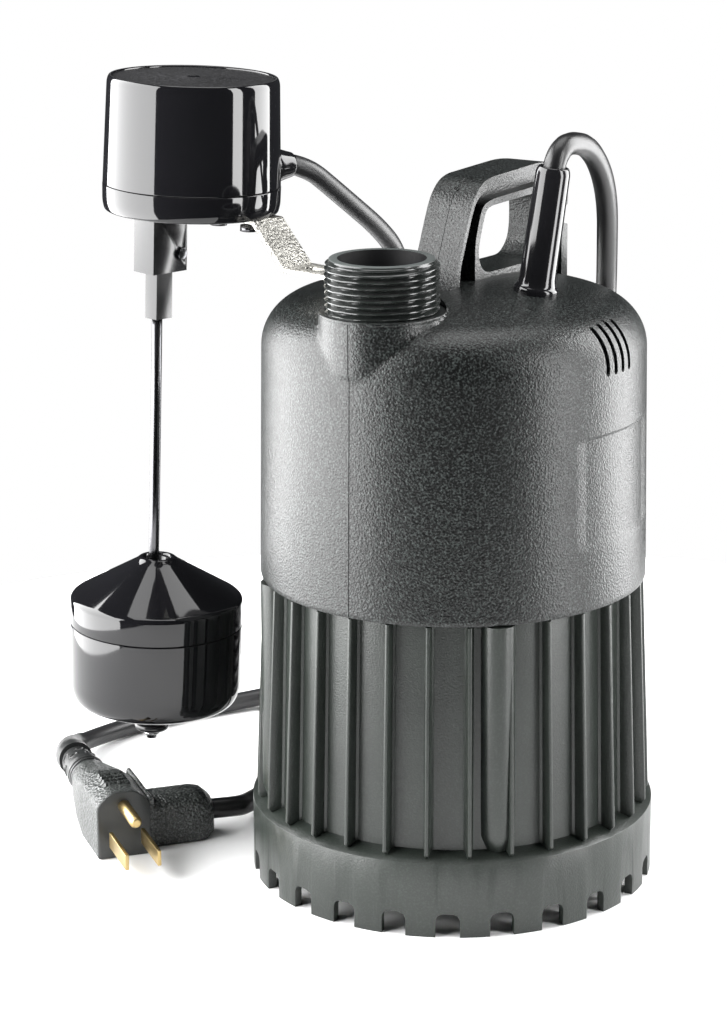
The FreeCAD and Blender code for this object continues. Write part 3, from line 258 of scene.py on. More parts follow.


# each surface's maker, colour, roughness and what else differs from the maker's own values
# a fleck strength paints pale glints of the pebbled grain into a colour, among darker flecks of
# tone
LOOKS = {
    "cover_plastic": (moulded, (0.0042, 0.0049, 0.0047), 0.36,
                      dict(grain=0.15, grain_size=0.7, scuff=0.015, glint_fleck=1.0, specular=0.40)),
    "housing_plastic": (moulded, (0.017, 0.021, 0.018), 0.34,
                        dict(grain=0.06, glint_fleck=0.05, grain_size=0.6, waviness=0.15,
                             variation=0.16)),
    "riser_plastic": (moulded, (0.014, 0.016, 0.015), 0.17, dict(scuff=0.02)),
    "pump_plastic": (moulded, (0.045, 0.047, 0.045), 0.45, dict(grain=0.03)),
    "switch_plastic": (moulded, (0.006, 0.006, 0.007), 0.05, dict(waviness=0.03, scuff=0.03)),
    "cap_top": (moulded, (0.006, 0.006, 0.0065), 0.5,
                dict(grain=0.25, glint_fleck=0.6, specular=0.3)),
    # the rim face's colour is painted lighter, as lit from above
    "riser_rim": (moulded, (0.06, 0.068, 0.066), 0.5, dict(grain=0.05)),
    # the bore's colour is painted near black, as shade inside the pipe
    "riser_bore": (moulded, (0.003, 0.003, 0.0035), 0.6, dict(specular=0.15)),
    "guide_plastic": (moulded, (0.013, 0.013, 0.014), 0.22, dict(waviness=0.03)),
    "insulation_plastic": (moulded, (0.09, 0.035, 0.02), 0.4, {}),
    "plug_plastic": (moulded, (0.022, 0.024, 0.023), 0.34,
                     dict(grain=0.55, grain_size=1.1, glint_fleck=0.45)),
    "plug_face": (moulded, (0.030, 0.032, 0.031), 0.42, dict(grain=0.03)),
    "neck_rubber": (moulded, (0.016, 0.017, 0.017), 0.34, dict(grain=0.03)),
    "boot_rubber": (moulded, (0.008, 0.008, 0.009), 0.10, dict(waviness=0.04, scuff=0.03)),
    "power_cord_rubber": (moulded, (0.007, 0.007, 0.0075), 0.34,
                          dict(grain=0.03, grain_size=0.5)),
    "switch_cord_rubber": (moulded, (0.016, 0.016, 0.017), 0.38,
                           dict(grain=0.03, grain_size=0.5)),
    "seal_rubber": (moulded, (0.02, 0.02, 0.02), 0.4, {}),
    "rod_steel": (moulded, (0.10, 0.10, 0.105), 0.22, dict(metallic=1.0, scuff=0.05)),
    "stainless": (rolled_steel, (0.62, 0.62, 0.63), 0.26, dict(stretch=(60, 60, 700))),
    "strap_steel": (crumpled_steel, (0.42, 0.41, 0.38), 0.38, {}),
    "can_steel": (rolled_steel, (0.5, 0.51, 0.52), 0.3, dict(stretch=(900, 900, 30))),
    "core_steel": (rolled_steel, (0.33, 0.33, 0.34), 0.4, dict(stretch=(20, 20, 1400))),
    "cap_aluminium": (moulded, (0.6, 0.61, 0.62), 0.42, dict(metallic=1.0, grain=0.05)),
    "bearing_bronze": (moulded, (0.5, 0.33, 0.16), 0.4, dict(metallic=1.0)),
    "winding_enamel": (rolled_steel, (0.42, 0.15, 0.05), 0.25, dict(stretch=(300, 300, 300))),
    "blade_brass": (rolled_steel, (0.44, 0.33, 0.15), 0.34, dict(stretch=(300, 300, 1200))),
    "ceramic": (moulded, (0.8, 0.78, 0.72), 0.2, {}),
    "carbon": (moulded, (0.03, 0.03, 0.03), 0.3, {}),
}
SURFACES = {name: maker(name, colour, roughness, **extras)
            for name, (maker, colour, roughness, extras) in LOOKS.items()}


def dress(piece, slot):
    piece.data.materials.clear()
    piece.data.materials.append(SURFACES[slot])


def dress_nodes():
    for entry in frame["record"]["subparts"]:
        dress(NODES[entry["node"]], entry["material_slot"])
    for name in ("float_rod", "guide_pin", "case_screws"):
        dress(NODES[name], "rod_steel")


# ---- cords
POWER_CORD = 8.2
SWITCH_CORD = 7.8
COIL_MIDDLE = (15.0, 150.0)
POWER_RING = 41.0
SWITCH_RING = 39.0
COIL_LAYERS = 4

POWER_LEAD = [(37.13, 6.31, 267.84), (37.69, 6.65, 272.8), (37.99, 9.45, 276.92),
              (38.12, 13.85, 279.27), (38.3, 20.9, 279.3), (38.4, 29.8, 277.0), (37.8, 39.2, 270.2),
              (35.9, 48.6, 260.6), (31.6, 59.6, 248.6), (25.0, 72.3, 233.0), (17.6, 86.3, 213.5),
              (12.5, 94.5, 188.0), (9.2, 100.0, 155.0), (6.6, 103.2, 118.0), (3.6, 106.6, 80.0),
              (-3.6, 109.0, 50.0), (-18.0, 107.5, 32.5)]
POWER_TAIL = [(-62.0, 82.0, 4.2), (-80.0, 60.0, 4.2), (-91.0, 34.0, 4.2),
              (-94.0, 12.0, 4.3), (-91.2, -8.0, 5.8), (-88.4, -19.6, 8.8), (-95.8, -29.4, 9.6)]
SWITCH_LEAD = [(-75.41, 5.33, 264.15), (-71.9, 11.6, 262.2), (-69.6, 23.5, 253.6),
               (-67.2, 36.5, 244.0), (-65.3, 50.0, 234.4), (-64.6, 62.5, 223.6),
               (-64.2, 70.6, 205.0), (-64.0, 74.2, 178.0), (-64.2, 76.0, 148.0),
               (-65.0, 77.2, 120.0), (-67.0, 79.0, 94.0), (-66.0, 84.6, 75.5),
               (-57.5, 92.5, 63.3)]
SWITCH_TAIL = [(-106.0, 161.5, 36.7), (-123.0, 149.0, 30.0),
               (-139.0, 133.0, 16.0), (-154.5, 112.5, 5.6), (-170.0, 90.0, 4.0),
               (-182.5, 65.0, 4.0), (-190.5, 40.0, 4.0), (-191.5, 15.0, 5.6),
               (-184.0, -8.3, 10.4), (-167.5, -21.3, 13.2)]


def coil_turns(ring, size, foot, sense, turns):
    """Points round a coil two cords wide, from its top outer turn down to its bottom outer one.

    Starts and ends on the side nearest the pump; sense is 1 for anticlockwise seen from above."""
    columns = [1, -1, -1, 1, 1, -1, -1, 1]
    cells = [(ring + 0.5 * size * column, foot + (COIL_LAYERS - 0.5 - index // 2) * size)
             for index, column in enumerate(columns)]
    steps, change_at = 24, 0.75
    points = []
    for step in range(int(turns * steps) + 1):
        along = step / steps
        now = min(int(along), len(cells) - 1)
        after = min(now + 1, len(cells) - 1)
        share = max(0.0, (along - now - change_at) / (1 - change_at))
        share = share * share * (3 - 2 * share)
        radius = cells[now][0] + (cells[after][0] - cells[now][0]) * share
        height = cells[now][1] + (cells[after][1] - cells[now][1]) * share
        angle = math.radians(-90.0) + sense * along * 2 * math.pi
        points.append(corner_view(COIL_MIDDLE[0] + radius * math.cos(angle),
                                  COIL_MIDDLE[1] + radius * math.sin(angle), height))
    return points


def cord_curve(name, points, size, slot):
    """A round cord of that thickness along points, in millimetres; it rides on the pump."""
    data = bpy.data.curves.new(name, "CURVE")
    data.dimensions = "3D"
    spline = data.splines.new("NURBS")
    spline.points.add(len(points) - 1)
    for place, point in zip(spline.points, points):
        place.co = (point[0] * MM, point[1] * MM, point[2] * MM, 1)
    spline.order_u = 3
    spline.use_endpoint_u = True
    spline.resolution_u = 8
    data.bevel_depth = 0.5 * size * MM
    data.bevel_resolution = 6
    data.use_fill_caps = True
    piece = link_object(name, data)
    data.materials.append(SURFACES[slot])
    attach(piece, "pump")
    return piece


def make_cords():
    power_turns = coil_turns(POWER_RING, POWER_CORD, 0.0, -1, 8)
    power = cord_curve("power_cord", POWER_LEAD + power_turns + POWER_TAIL, POWER_CORD,
                       "power_cord_rubber")
    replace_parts(power, "power_cord_lead", "power_cord_coil", "power_cord_tail")
    switch_turns = coil_turns(SWITCH_RING, SWITCH_CORD, COIL_LAYERS * POWER_CORD, 1, 7.5)
    switch = cord_curve("switch_cord", SWITCH_LEAD + switch_turns + SWITCH_TAIL, SWITCH_CORD,
                        "switch_cord_rubber")
    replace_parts(switch, "switch_cord_lead", "switch_cord_coil", "switch_cord_tail")


# ---- carried-over parts
def round_edges(piece, width, angle, segments):
    """Rounds the edges sharper than an angle in degrees, over a width in millimetres."""
    edges = piece.modifiers.new("edges", "BEVEL")
    edges.width = width * MM
    edges.segments = segments
    edges.limit_method = "ANGLE"
    edges.angle_limit = math.radians(angle)
    edges.harden_normals = True


def soften(piece, width):
    """Welds a part's mesh, rounds its sharp edges over a width and smooths the rest."""
    weld = piece.modifiers.new("weld", "WELD")
    weld.merge_threshold = 0.00002
    plain = piece.modifiers.new("plain", "DECIMATE")
    plain.decimate_type = "DISSOLVE"
    plain.angle_limit = math.radians(0.5)
    if width:
        round_edges(piece, width, 35.0, 2)
    for face in piece.data.polygons:
        face.use_smooth = True


# ---- frames, in millimetres
SWITCH_HEADING = math.radians(170.0)
SWITCH_LEAN = math.radians(2.1)
ROD_OFFSET = 17.8
ROD_FOOT = Vector((-115.0, -29.1, 0.0))
SMOOTH_ANGLE = 32.0


def switch_frame():
    """The leaning frame on the switch's own axis, with X towards the rod."""
    heading = Matrix.Rotation(SWITCH_HEADING, 4, "Z")
    foot = ROD_FOOT - heading @ Vector((ROD_OFFSET, 0, 0))
    pivot = ROD_FOOT + Vector((0, 0, 205))
    side = Vector((-0.515, 0.857, 0.0))
    lean = Matrix.Translation(pivot) @ Matrix.Rotation(SWITCH_LEAN, 4, side)
    return lean @ Matrix.Translation(-pivot) @ Matrix.Translation(foot) @ heading


LEANING = switch_frame()
FLOAT_FRAME = LEANING @ Matrix.Translation((ROD_OFFSET - 1.0, -0.85, 0))


def standing(start, ahead):
    """A frame with its origin at start and its Z along ahead."""
    return Matrix.Translation(start) @ Vector(ahead).to_track_quat("Z", "Y").to_matrix().to_4x4()


# ---- mesh helpers, in millimetres
def smooth_by_angle(mesh, angle=SMOOTH_ANGLE):
    for face in mesh.polygons:
        face.use_smooth = True
    mesh.set_sharp_from_angle(angle=math.radians(angle))


def piece_of(name, edit, body, slot, place=None, angle=SMOOTH_ANGLE):
    """Turns an edited mesh in millimetres into a piece that rides on a body."""
    bmesh.ops.recalc_face_normals(edit, faces=edit.faces)
    if place:
        edit.transform(place)
    edit.transform(Matrix.Scale(MM, 4))
    mesh = bpy.data.meshes.new(name)
    edit.to_mesh(mesh)
    edit.free()
    smooth_by_angle(mesh, angle)
    mesh.materials.append(SURFACES[slot])
    piece = link_object(name, mesh)
    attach(piece, body)
    return piece


def finish_in(piece, name):
    """Gives a piece another finish than its slot's usual one."""
    piece.data.materials[0] = SURFACES[name]


def rounded(points, steps=4):
    """A closed outline whose points (across, up, reach) are rounded over their reach."""
    whole = []
    count = len(points)
    for index, point in enumerate(points):
        reach = point[2] if len(point) > 2 else 0.0
        here = Vector(point[:2])
        if not reach:
            whole.append(tuple(here))
            continue
        before = Vector(points[index - 1][:2]) - here
        after = Vector(points[(index + 1) % count][:2]) - here
        start = here + before.normalized() * min(reach, 0.49 * before.length)
        end = here + after.normalized() * min(reach, 0.49 * after.length)
        for step in range(steps + 1):
            share = step / steps
            bent = start * (1 - share) ** 2 + here * 2 * share * (1 - share) + end * share ** 2
            whole.append(tuple(bent))
    return whole


def lathe(edit, outline, steps=128):
    """Turns an outline of (radius, height) points about Z; ends on the axis become poles."""
    rings = []
    for radius, height in outline:
        if radius < 1e-6:
            rings.append([edit.verts.new((0, 0, height))])
            continue
        turns = [2 * math.pi * step / steps for step in range(steps)]
        rings.append([edit.verts.new((radius * math.cos(turn), radius * math.sin(turn), height))
                      for turn in turns])
    pairs = list(zip(rings, rings[1:]))
    if len(rings[0]) > 1:
        pairs.append((rings[-1], rings[0]))
    for low, high in pairs:
        for step in range(steps):
            after = step + 1
            corners = [low[step % len(low)], low[after % len(low)], high[after % len(high)],
                       high[step % len(high)]]
            corners = list(dict.fromkeys(corners))
            if len(corners) > 2:
                edit.faces.new(corners)


def turned_piece(name, outline, body, slot, place, steps=128):
    edit = bmesh.new()
    lathe(edit, outline, steps)
    return piece_of(name, edit, body, slot, place)


def loft(edit, sections):
    """Skins closed sections with the same number of points, and caps both ends."""
    rings = [[edit.verts.new(point) for point in section] for section in sections]
    for low, high in zip(rings, rings[1:]):
        for step in range(len(low)):
            after = (step + 1) % len(low)
            edit.faces.new([low[step], low[after], high[after], high[step]])
    edit.faces.new(rings[0])
    edit.faces.new(rings[-1])


def merge(edit, part):
    """Adds a part to a mesh that is being edited, and frees the part."""
    mesh = bpy.data.meshes.new("part")
    part.to_mesh(mesh)
    part.free()
    edit.from_mesh(mesh)


def final_mesh(piece):
    """A copy of a piece's mesh with its modifiers applied."""
    bpy.context.view_layer.update()
    graph = bpy.context.evaluated_depsgraph_get()
    return bpy.data.meshes.new_from_object(piece.evaluated_get(graph))


def cut_away(piece, cutter):
    """Takes a cutter's mesh out of a piece and drops the cutter."""
    knife = piece.modifiers.new("cut", "BOOLEAN")
    knife.operation = "DIFFERENCE"
    knife.object = cutter
    knife.solver = "MANIFOLD"
    mesh = final_mesh(piece)
    piece.modifiers.clear()
    piece.data = mesh
    bpy.data.objects.remove(cutter)


def loose_object(name, edit):
    """Turns an edited mesh in millimetres into an object that isn't a piece, such as a cutter."""
    mesh = bpy.data.meshes.new(name)
    edit.transform(Matrix.Scale(MM, 4))
    bmesh.ops.recalc_face_normals(edit, faces=edit.faces)
    edit.to_mesh(mesh)
    edit.free()
    return link_object(name, mesh)


# ---- upper cover
COVER_FOOT, COVER_HEAD = 72.7, 70.9
COVER_BOTTOM, COVER_APEX = 117.1, 229.0
CROWN, SHOULDER, COVER_WALL = 262.0, 18.6, 3.2
NECK_Y, NECK_RADIUS, NECK_TOP = -49.4, 22.7, 225.5
NECK_BORE = 19.6
LABEL_LOW, LABEL_HIGH, LABEL_HALF, LABEL_DEPTH = 140.8, 181.4, math.radians(19.5), 0.8
VENT_SIDES, VENT_HALF = (-10.75, -5.95, -1.15, 3.65), 1.08


class Dome:
    """The cover's outline: a tapered side, a rounded shoulder and a shallow crown."""

    def __init__(self, shrink):
        self.low = np.array([COVER_FOOT - shrink, COVER_BOTTOM])
        side = np.array([COVER_HEAD - COVER_FOOT, COVER_APEX - COVER_BOTTOM])
        self.side = side / np.linalg.norm(side)
        self.out = np.array([self.side[1], -self.side[0]])
        self.crown = CROWN - shrink
        self.round = SHOULDER - shrink
        self.middle = np.array([0.0, COVER_APEX - CROWN])
        offset = self.low - self.out * self.round - self.middle
        half = offset @ self.side
        climb = -half + math.sqrt(half ** 2 - offset @ offset + (self.crown - self.round) ** 2)
        self.centre = self.low - self.out * self.round + self.side * climb
        self.crown_out = (self.centre - self.middle) / np.linalg.norm(self.centre - self.middle)

    def distance(self, radius, height):
        """How far a point is outside the outline."""
        point = np.stack([radius, height], axis=-1)
        from_side = (point - self.low) @ self.out
        from_crown = np.linalg.norm(point - self.middle, axis=-1) - self.crown
        from_centre = point - self.centre
        crown_along = np.array([self.crown_out[1], -self.crown_out[0]])
        in_round = (from_centre @ self.side > 0) & (from_centre @ crown_along > 0)
        return np.where(in_round, np.linalg.norm(from_centre, axis=-1) - self.round,
                        np.maximum(from_side, from_crown))

    def outline(self, foot):
        """From the foot of the side up over the shoulder to the top of the crown."""
        steps = 10
        start = self.low + self.side * (foot - COVER_BOTTOM) / self.side[1]
        points = [tuple(start), tuple(self.centre + self.out * self.round)]
        first = math.atan2(self.out[1], self.out[0])
        last = math.atan2(self.crown_out[1], self.crown_out[0])
        for step in range(1, steps + 1):
            turn = first + (last - first) * step / steps
            points.append((self.centre[0] + self.round * math.cos(turn),
                           self.centre[1] + self.round * math.sin(turn)))
        for step in range(1, steps):
            turn = last + (math.pi / 2 - last) * step / steps
            points.append((self.crown * math.cos(turn),
                           self.middle[1] + self.crown * math.sin(turn)))
        return points + [(0.0, self.middle[1] + self.crown)]


OUTSIDE, INSIDE = Dome(0.0), Dome(COVER_WALL)


def cover_distance(points):
    """Distance outside the dome with its neck smoothly merged and the label recess let in."""
    x, y, z = points[:, 0], points[:, 1], points[:, 2]
    dome = OUTSIDE.distance(np.hypot(x, y), z)
    across = np.abs(np.arctan2(y, x))
    beside = np.clip((LABEL_HALF - across) * COVER_FOOT / 6.0 + 0.5, 0, 1)
    between = np.clip(np.minimum(z - LABEL_LOW, LABEL_HIGH - z) / 0.8 + 0.5, 0, 1)
    dome = dome + LABEL_DEPTH * beside * between
    taper = 0.45 * np.maximum(0.0, 206.0 - z)
    neck = np.hypot(x, y - NECK_Y) - NECK_RADIUS + taper
    blend = 0.5
    mix = np.clip(0.5 + 0.5 * (neck - dome) / blend, 0, 1)
    return neck * (1 - mix) + dome * mix - blend * mix * (1 - mix)


def settle(points):
    """Moves points onto the cover's surface, in five rounds."""
    for _ in range(5):
        here = cover_distance(points)
        slope = np.stack([(cover_distance(points + step) - cover_distance(points - step)) / 0.02
                          for step in np.eye(3) * 0.01], axis=-1)
        length = np.maximum((slope ** 2).sum(axis=1), 0.05)
        points = points - slope * np.clip(here / length, -2, 2)[:, None]
    return points


def cover_skin():
    """An even mesh over the dome and the neck, closed well below the rim."""
    edit = bmesh.new()
    outline = OUTSIDE.outline(COVER_BOTTOM - 8)
    lathe(edit, [(0.0, COVER_BOTTOM - 8)] + outline, 96)
    column = bmesh.new()
    lathe(column, [(0.0, 200.0), (NECK_RADIUS, 200.0), (NECK_RADIUS, NECK_TOP + 7),
                   (0.0, NECK_TOP + 7)], 96)
    column.transform(Matrix.Translation((0, NECK_Y, 0)))
    merge(edit, column)
    blank = loose_object("cover_blank", edit)
    even = blank.modifiers.new("even", "REMESH")
    even.mode = "VOXEL"
    even.voxel_size = 1.25 * MM
    skin = final_mesh(blank)
    bpy.data.objects.remove(blank)
    count = len(skin.vertices)
    places = np.empty(count * 3)
    skin.vertices.foreach_get("co", places)
    places = places.reshape(count, 3) / MM
    flat_top = places[:, 2] > NECK_TOP + 6
    moved = settle(places)
    moved[flat_top] = places[flat_top]
    skin.vertices.foreach_set("co", moved.ravel())
    return skin


def make_cover_shell():
    edit = bmesh.new()
    edit.from_mesh(cover_skin())
    rim = COVER_BOTTOM + 1.2
    bmesh.ops.bisect_plane(edit, geom=edit.verts[:] + edit.edges[:] + edit.faces[:],
                           plane_co=(0, 0, rim), plane_no=(0, 0, 1), clear_inner=True)
    loop = [edge for edge in edit.edges if edge.is_boundary]
    lip = [(COVER_FOOT - 0.25, COVER_BOTTOM + 0.35), (COVER_FOOT - 1.0, COVER_BOTTOM),
           (COVER_FOOT - 2.6, COVER_BOTTOM)]
    for radius, height in lip + INSIDE.outline(COVER_BOTTOM + 0.6):
        grown = bmesh.ops.extrude_edge_only(edit, edges=loop)["geom"]
        ring = [item for item in grown if isinstance(item, bmesh.types.BMVert)]
        for vert in ring:
            flat = Vector((vert.co.x, vert.co.y, 0))
            vert.co = flat.normalized() * max(radius, 0.001) + Vector((0, 0, height))
        loop = [item for item in grown if isinstance(item, bmesh.types.BMEdge)]
    bmesh.ops.remove_doubles(edit, verts=ring, dist=0.05)
    return edit


def slot_cutter(side):
    """A vent: a curved slot with round ends over the shoulder."""
    edit = bmesh.new()
    centre, sections, steps = OUTSIDE.centre, [], 28
    first, last = math.radians(-7.0), math.radians(57.0)
    for step in range(steps + 1):
        share = step / steps
        turn = first + (last - first) * share
        end = min(share, 1 - share) * (last - first) * SHOULDER
        half = VENT_HALF * math.sqrt(max(0.02, 1 - max(0.0, 1 - end / VENT_HALF) ** 2))
        inner, outer = SHOULDER - 7.5, SHOULDER + 4
        sections.append([(centre[0] + reach * math.cos(turn), side + across,
                          centre[1] + reach * math.sin(turn))
                         for reach, across in ((inner, -half), (outer, -half), (outer, half),
                                               (inner, half))])
    loft(edit, sections)
    return loose_object("slot", edit)


def neck_cutter():
    """The neck's bore, and the space round the thread above the neck's top."""
    edit = bmesh.new()
    lathe(edit, [(0.0, 190.0), (NECK_BORE, 190.0), (NECK_BORE, NECK_TOP),
                 (NECK_RADIUS + 0.2, NECK_TOP), (NECK_RADIUS + 0.2, 245.0), (0.0, 245.0)], 96)
    edit.transform(Matrix.Translation((0, NECK_Y, 0)))
    return loose_object("neck", edit)


def make_cover():
    cover = piece_of("cover_shell", make_cover_shell(), "pump", "cover_plastic")
    cut_away(cover, neck_cutter())
    for side in VENT_SIDES:
        cut_away(cover, slot_cutter(side))
    smooth_by_angle(cover.data)
    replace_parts(cover, "upper_cover")
    collar = rounded([(THREAD_ROOT + 0.1, 223.0), (NECK_RADIUS + 0.12, 224.5, 0.3),
                      (NECK_RADIUS + 0.12, NECK_TOP + 0.1, 0.35),
                      (THREAD_ROOT + 0.1, NECK_TOP + 0.1)])
    turned_piece("neck_collar", collar, "pump", "cover_plastic",
                 Matrix.Translation((0, NECK_Y, 0)))
    make_mould_line()


def make_mould_line():
    """The thin raised line down the cover's front where its two moulds met."""
    rows = 90
    heights = np.linspace(COVER_BOTTOM + 0.5, NECK_TOP - 0.6, rows)
    inner, outer = np.full(rows, -60.0), np.full(rows, -80.0)
    for _ in range(30):
        middle = 0.5 * (inner + outer)
        outside = cover_distance(np.stack([middle * 0, middle, heights], axis=-1)) > 0
        outer, inner = np.where(outside, middle, outer), np.where(outside, inner, middle)
    edit = bmesh.new()
    sections = [[(-0.28, y + 0.4, z), (-0.12, y - 0.22, z), (0.12, y - 0.22, z), (0.28, y + 0.4, z)]
                for y, z in zip(inner, heights)]
    loft(edit, sections)
    piece_of("cover_mould_line", edit, "pump", "cover_plastic")


# ---- lower housing
HOUSING_LOW, HOUSING_HIGH = 31.3, 117.1
HOUSING_FOOT, HOUSING_HEAD, HOUSING_WALL = 69.4, 67.2, 3.0
RIB_CREST, CREST_TAPER, ROOT_TAPER = 75.5, 3.6, 2.2
RIB_COUNT, RIB_START = 30, 6.0
BOSS_CIRCLE, BOSS_RADIUS = 67.6, 6.4


def rib_section(height):
    """One rib's section: a flared root, slightly tapered sides and a rounded crest."""
    share = (height - HOUSING_LOW) / (HOUSING_HIGH - HOUSING_LOW)
    crest = RIB_CREST - CREST_TAPER * share
    root = HOUSING_FOOT - ROOT_TAPER * share
    half = [(root - 1.5, 2.0), (root + 0.1, 1.75), (root + 0.9, 1.05), (crest - 0.7, 0.85),
            (crest - 0.2, 0.62), (crest, 0.25)]
    return ([(radius, across, height) for radius, across in half]
            + [(radius, -across, height) for radius, across in reversed(half)])


def make_ribs(edit):
    for index in range(RIB_COUNT):
        rib = bmesh.new()
        foot = [(r, a * 0.8, z) for r, a, z in rib_section(HOUSING_LOW - 1.5)]
        foot = [(min(r, 74.2), a, z) for r, a, z in foot]
        heights = (HOUSING_LOW - 0.2, HOUSING_LOW + 1.6, 60.0, 88.0, HOUSING_HIGH - 0.4)
        loft(rib, [foot] + [rib_section(height) for height in heights])
        turn = math.radians(RIB_START + 360.0 / RIB_COUNT * index)
        rib.transform(Matrix.Rotation(turn, 4, "Z"))
        merge(edit, rib)


def make_bosses(edit):
    """The four screw columns, thinner at the foot."""
    for index in range(4):
        column = bmesh.new()
        outline = [(0.0, HOUSING_LOW - 1), (BOSS_RADIUS - 2.4, HOUSING_LOW - 1),
                   (BOSS_RADIUS - 1.8, HOUSING_LOW + 0.4), (BOSS_RADIUS, HOUSING_LOW + 5.5),
                   (BOSS_RADIUS, HOUSING_LOW + 12), (BOSS_RADIUS - 0.2, HOUSING_HIGH - 0.4),
                   (0.0, HOUSING_HIGH - 0.4)]
        lathe(column, outline, 48)
        turn = math.radians(45.0 + 90.0 * index)
        column.transform(Matrix.Translation((BOSS_CIRCLE * math.cos(turn),
                                             BOSS_CIRCLE * math.sin(turn), 0)))
        merge(edit, column)


def make_housing():
    edit = bmesh.new()
    lathe(edit, [(HOUSING_FOOT - HOUSING_WALL, HOUSING_LOW), (HOUSING_FOOT, HOUSING_LOW),
                 (HOUSING_HEAD, HOUSING_HIGH), (HOUSING_HEAD, HOUSING_HIGH + 8),
                 (HOUSING_HEAD - HOUSING_WALL, HOUSING_HIGH + 8)], 180)
    make_ribs(edit)
    make_bosses(edit)
    housing = piece_of("ribbed_housing", edit, "pump", "housing_plastic")
    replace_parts(housing, "lower_housing")


# ---- discharge riser
THREAD_PITCH, THREAD_ROOT, THREAD_CREST = 2.209, 19.0, 20.6
THREAD_LOW = 223.4
RISER_TOP, RISER_BORE = 244.6, 15.6


def thread_radius(turn, height):
    """The thread's radius at a place: a rounded ridge that climbs one pitch a turn."""
    phase = (height / THREAD_PITCH - turn / (2 * math.pi)) % 1.0
    ridge = min(1.0, 1.25 * (1 - abs(2 * phase - 1)))
    fade = min(1.0, max(0.0, (RISER_TOP - 0.5 - height) / 1.4), max(0.0, (height - 223.6) / 1.2))
    return THREAD_ROOT + (THREAD_CREST - THREAD_ROOT) * ridge * fade


def make_riser():
    edit = bmesh.new()
    steps, rows = 144, 110
    outside = [(11.0, 14.0), (14.0, 14.0), (14.0, 128.0), (18.0, 137.0), (18.0, 217.5),
               (THREAD_ROOT, 218.5)]
    rings = [[(radius, height)] * steps for radius, height in outside]
    for row in range(rows + 1):
        height = THREAD_LOW + (RISER_TOP - 0.5 - THREAD_LOW) * row / rows
        rings.append([(thread_radius(2 * math.pi * step / steps, height), height)
                      for step in range(steps)])
    for radius, height in ((THREAD_ROOT - 0.05, RISER_TOP - 0.2), (THREAD_ROOT - 0.3, RISER_TOP),
                           (RISER_BORE + 0.3, RISER_TOP), (RISER_BORE, RISER_TOP - 0.4),
                           (RISER_BORE, 137.0), (11.0, 128.0)):
        rings.append([(radius, height)] * steps)
    verts = [[edit.verts.new((radius * math.cos(2 * math.pi * step / steps),
                              radius * math.sin(2 * math.pi * step / steps), height))
              for step, (radius, height) in enumerate(ring)] for ring in rings]
    for below, above in zip(verts, verts[1:] + verts[:1]):
        for step in range(steps):
            after = (step + 1) % steps
            edit.faces.new([below[step], below[after], above[after], above[step]])
    riser = piece_of("threaded_riser", edit, "pump", "riser_plastic",
                     Matrix.Translation((0, NECK_Y, 0)), 42.0)
    # the top faces get a colour painted lighter, as lit from above
    riser.data.materials.append(SURFACES["riser_rim"])
    # the faces inside the bore get a colour painted near black, as shade inside the pipe
    riser.data.materials.append(SURFACES["riser_bore"])
    for face in riser.data.polygons:
        if face.center.z > (RISER_TOP - 0.1) * MM:
            face.material_index = 1
        elif math.hypot(face.center.x, face.center.y - NECK_Y * MM) < (RISER_BORE + 0.4) * MM:
            face.material_index = 2
    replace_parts(riser, "discharge_riser")


# ---- float switch
CAP_RADIUS, CASE_LOW, CASE_SEAM, CASE_HIGH = 33.3, 251.0, 261.0, 301.0


def make_switch():
    """The glossy cap with its rolled edge and dished top, its tray and its cord's sleeve."""
    inside = CAP_RADIUS - 3.4
    seam = (inside, CASE_SEAM + 0.05)
    cap = rounded([seam, (CAP_RADIUS, CASE_SEAM + 0.05, 0.35),
                   (CAP_RADIUS - 1.2, CASE_HIGH - 2.0, 1.0), (CAP_RADIUS - 1.9, CASE_HIGH, 1.2),
                   (CAP_RADIUS - 2.9, CASE_HIGH, 0.4), (inside, CASE_HIGH - 0.3, 0.4)], 5)
    dished_top = [(2.4, CASE_HIGH - 0.3), (1.7, CASE_HIGH + 0.15), (0.0, CASE_HIGH + 0.4)]
    hollow = [(0.0, CASE_HIGH - 3.0), (inside, CASE_HIGH - 3.0), seam]
    housing = turned_piece("switch_cap", hollow + cap[1:] + dished_top, "pump", "switch_plastic",
                           LEANING, 160)
    housing.data.materials.append(SURFACES["cap_top"])
    for face in housing.data.polygons:
        if face.normal.z > 0.97 and face.center.z > (CASE_HIGH - 6) * MM:
            face.material_index = 1
    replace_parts(housing, "switch_housing")
    tray = rounded([(0.0, CASE_LOW), (CAP_RADIUS - 0.8, CASE_LOW, 0.9),
                    (CAP_RADIUS, CASE_LOW + 3.0, 1.5), (CAP_RADIUS + 0.1, CASE_SEAM - 0.15, 0.4),
                    (CAP_RADIUS - 2.4, CASE_SEAM - 0.15), (CAP_RADIUS - 2.4, CASE_LOW + 2.4),
                    (0.0, CASE_LOW + 2.4)], 4)
    base = turned_piece("switch_tray", tray, "pump", "switch_plastic", LEANING, 160)
    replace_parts(base, "switch_base")
    sleeve = rounded([(0.0, -9.0), (4.4, -9.0), (4.4, 1.6), (6.6, 1.6, 0.5), (6.8, 3.6, 1.2),
                      (5.6, 7.4, 1.5), (4.6, 11.0, 0.5), (4.0, 11.2), (0.0, 11.2)], 4)
    turn = Matrix.Rotation(math.radians(-109.0), 4, "Z")
    heading = turn @ Vector((30.6, 0, 0)) + Vector((0, 0, 266.0))
    place = LEANING @ Matrix.Translation(heading) @ turn @ Matrix.Rotation(math.pi / 2, 4, "Y")
    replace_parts(turned_piece("switch_sleeve", sleeve, "pump", "boot_rubber", place, 64),
                "switch_cord_boot")


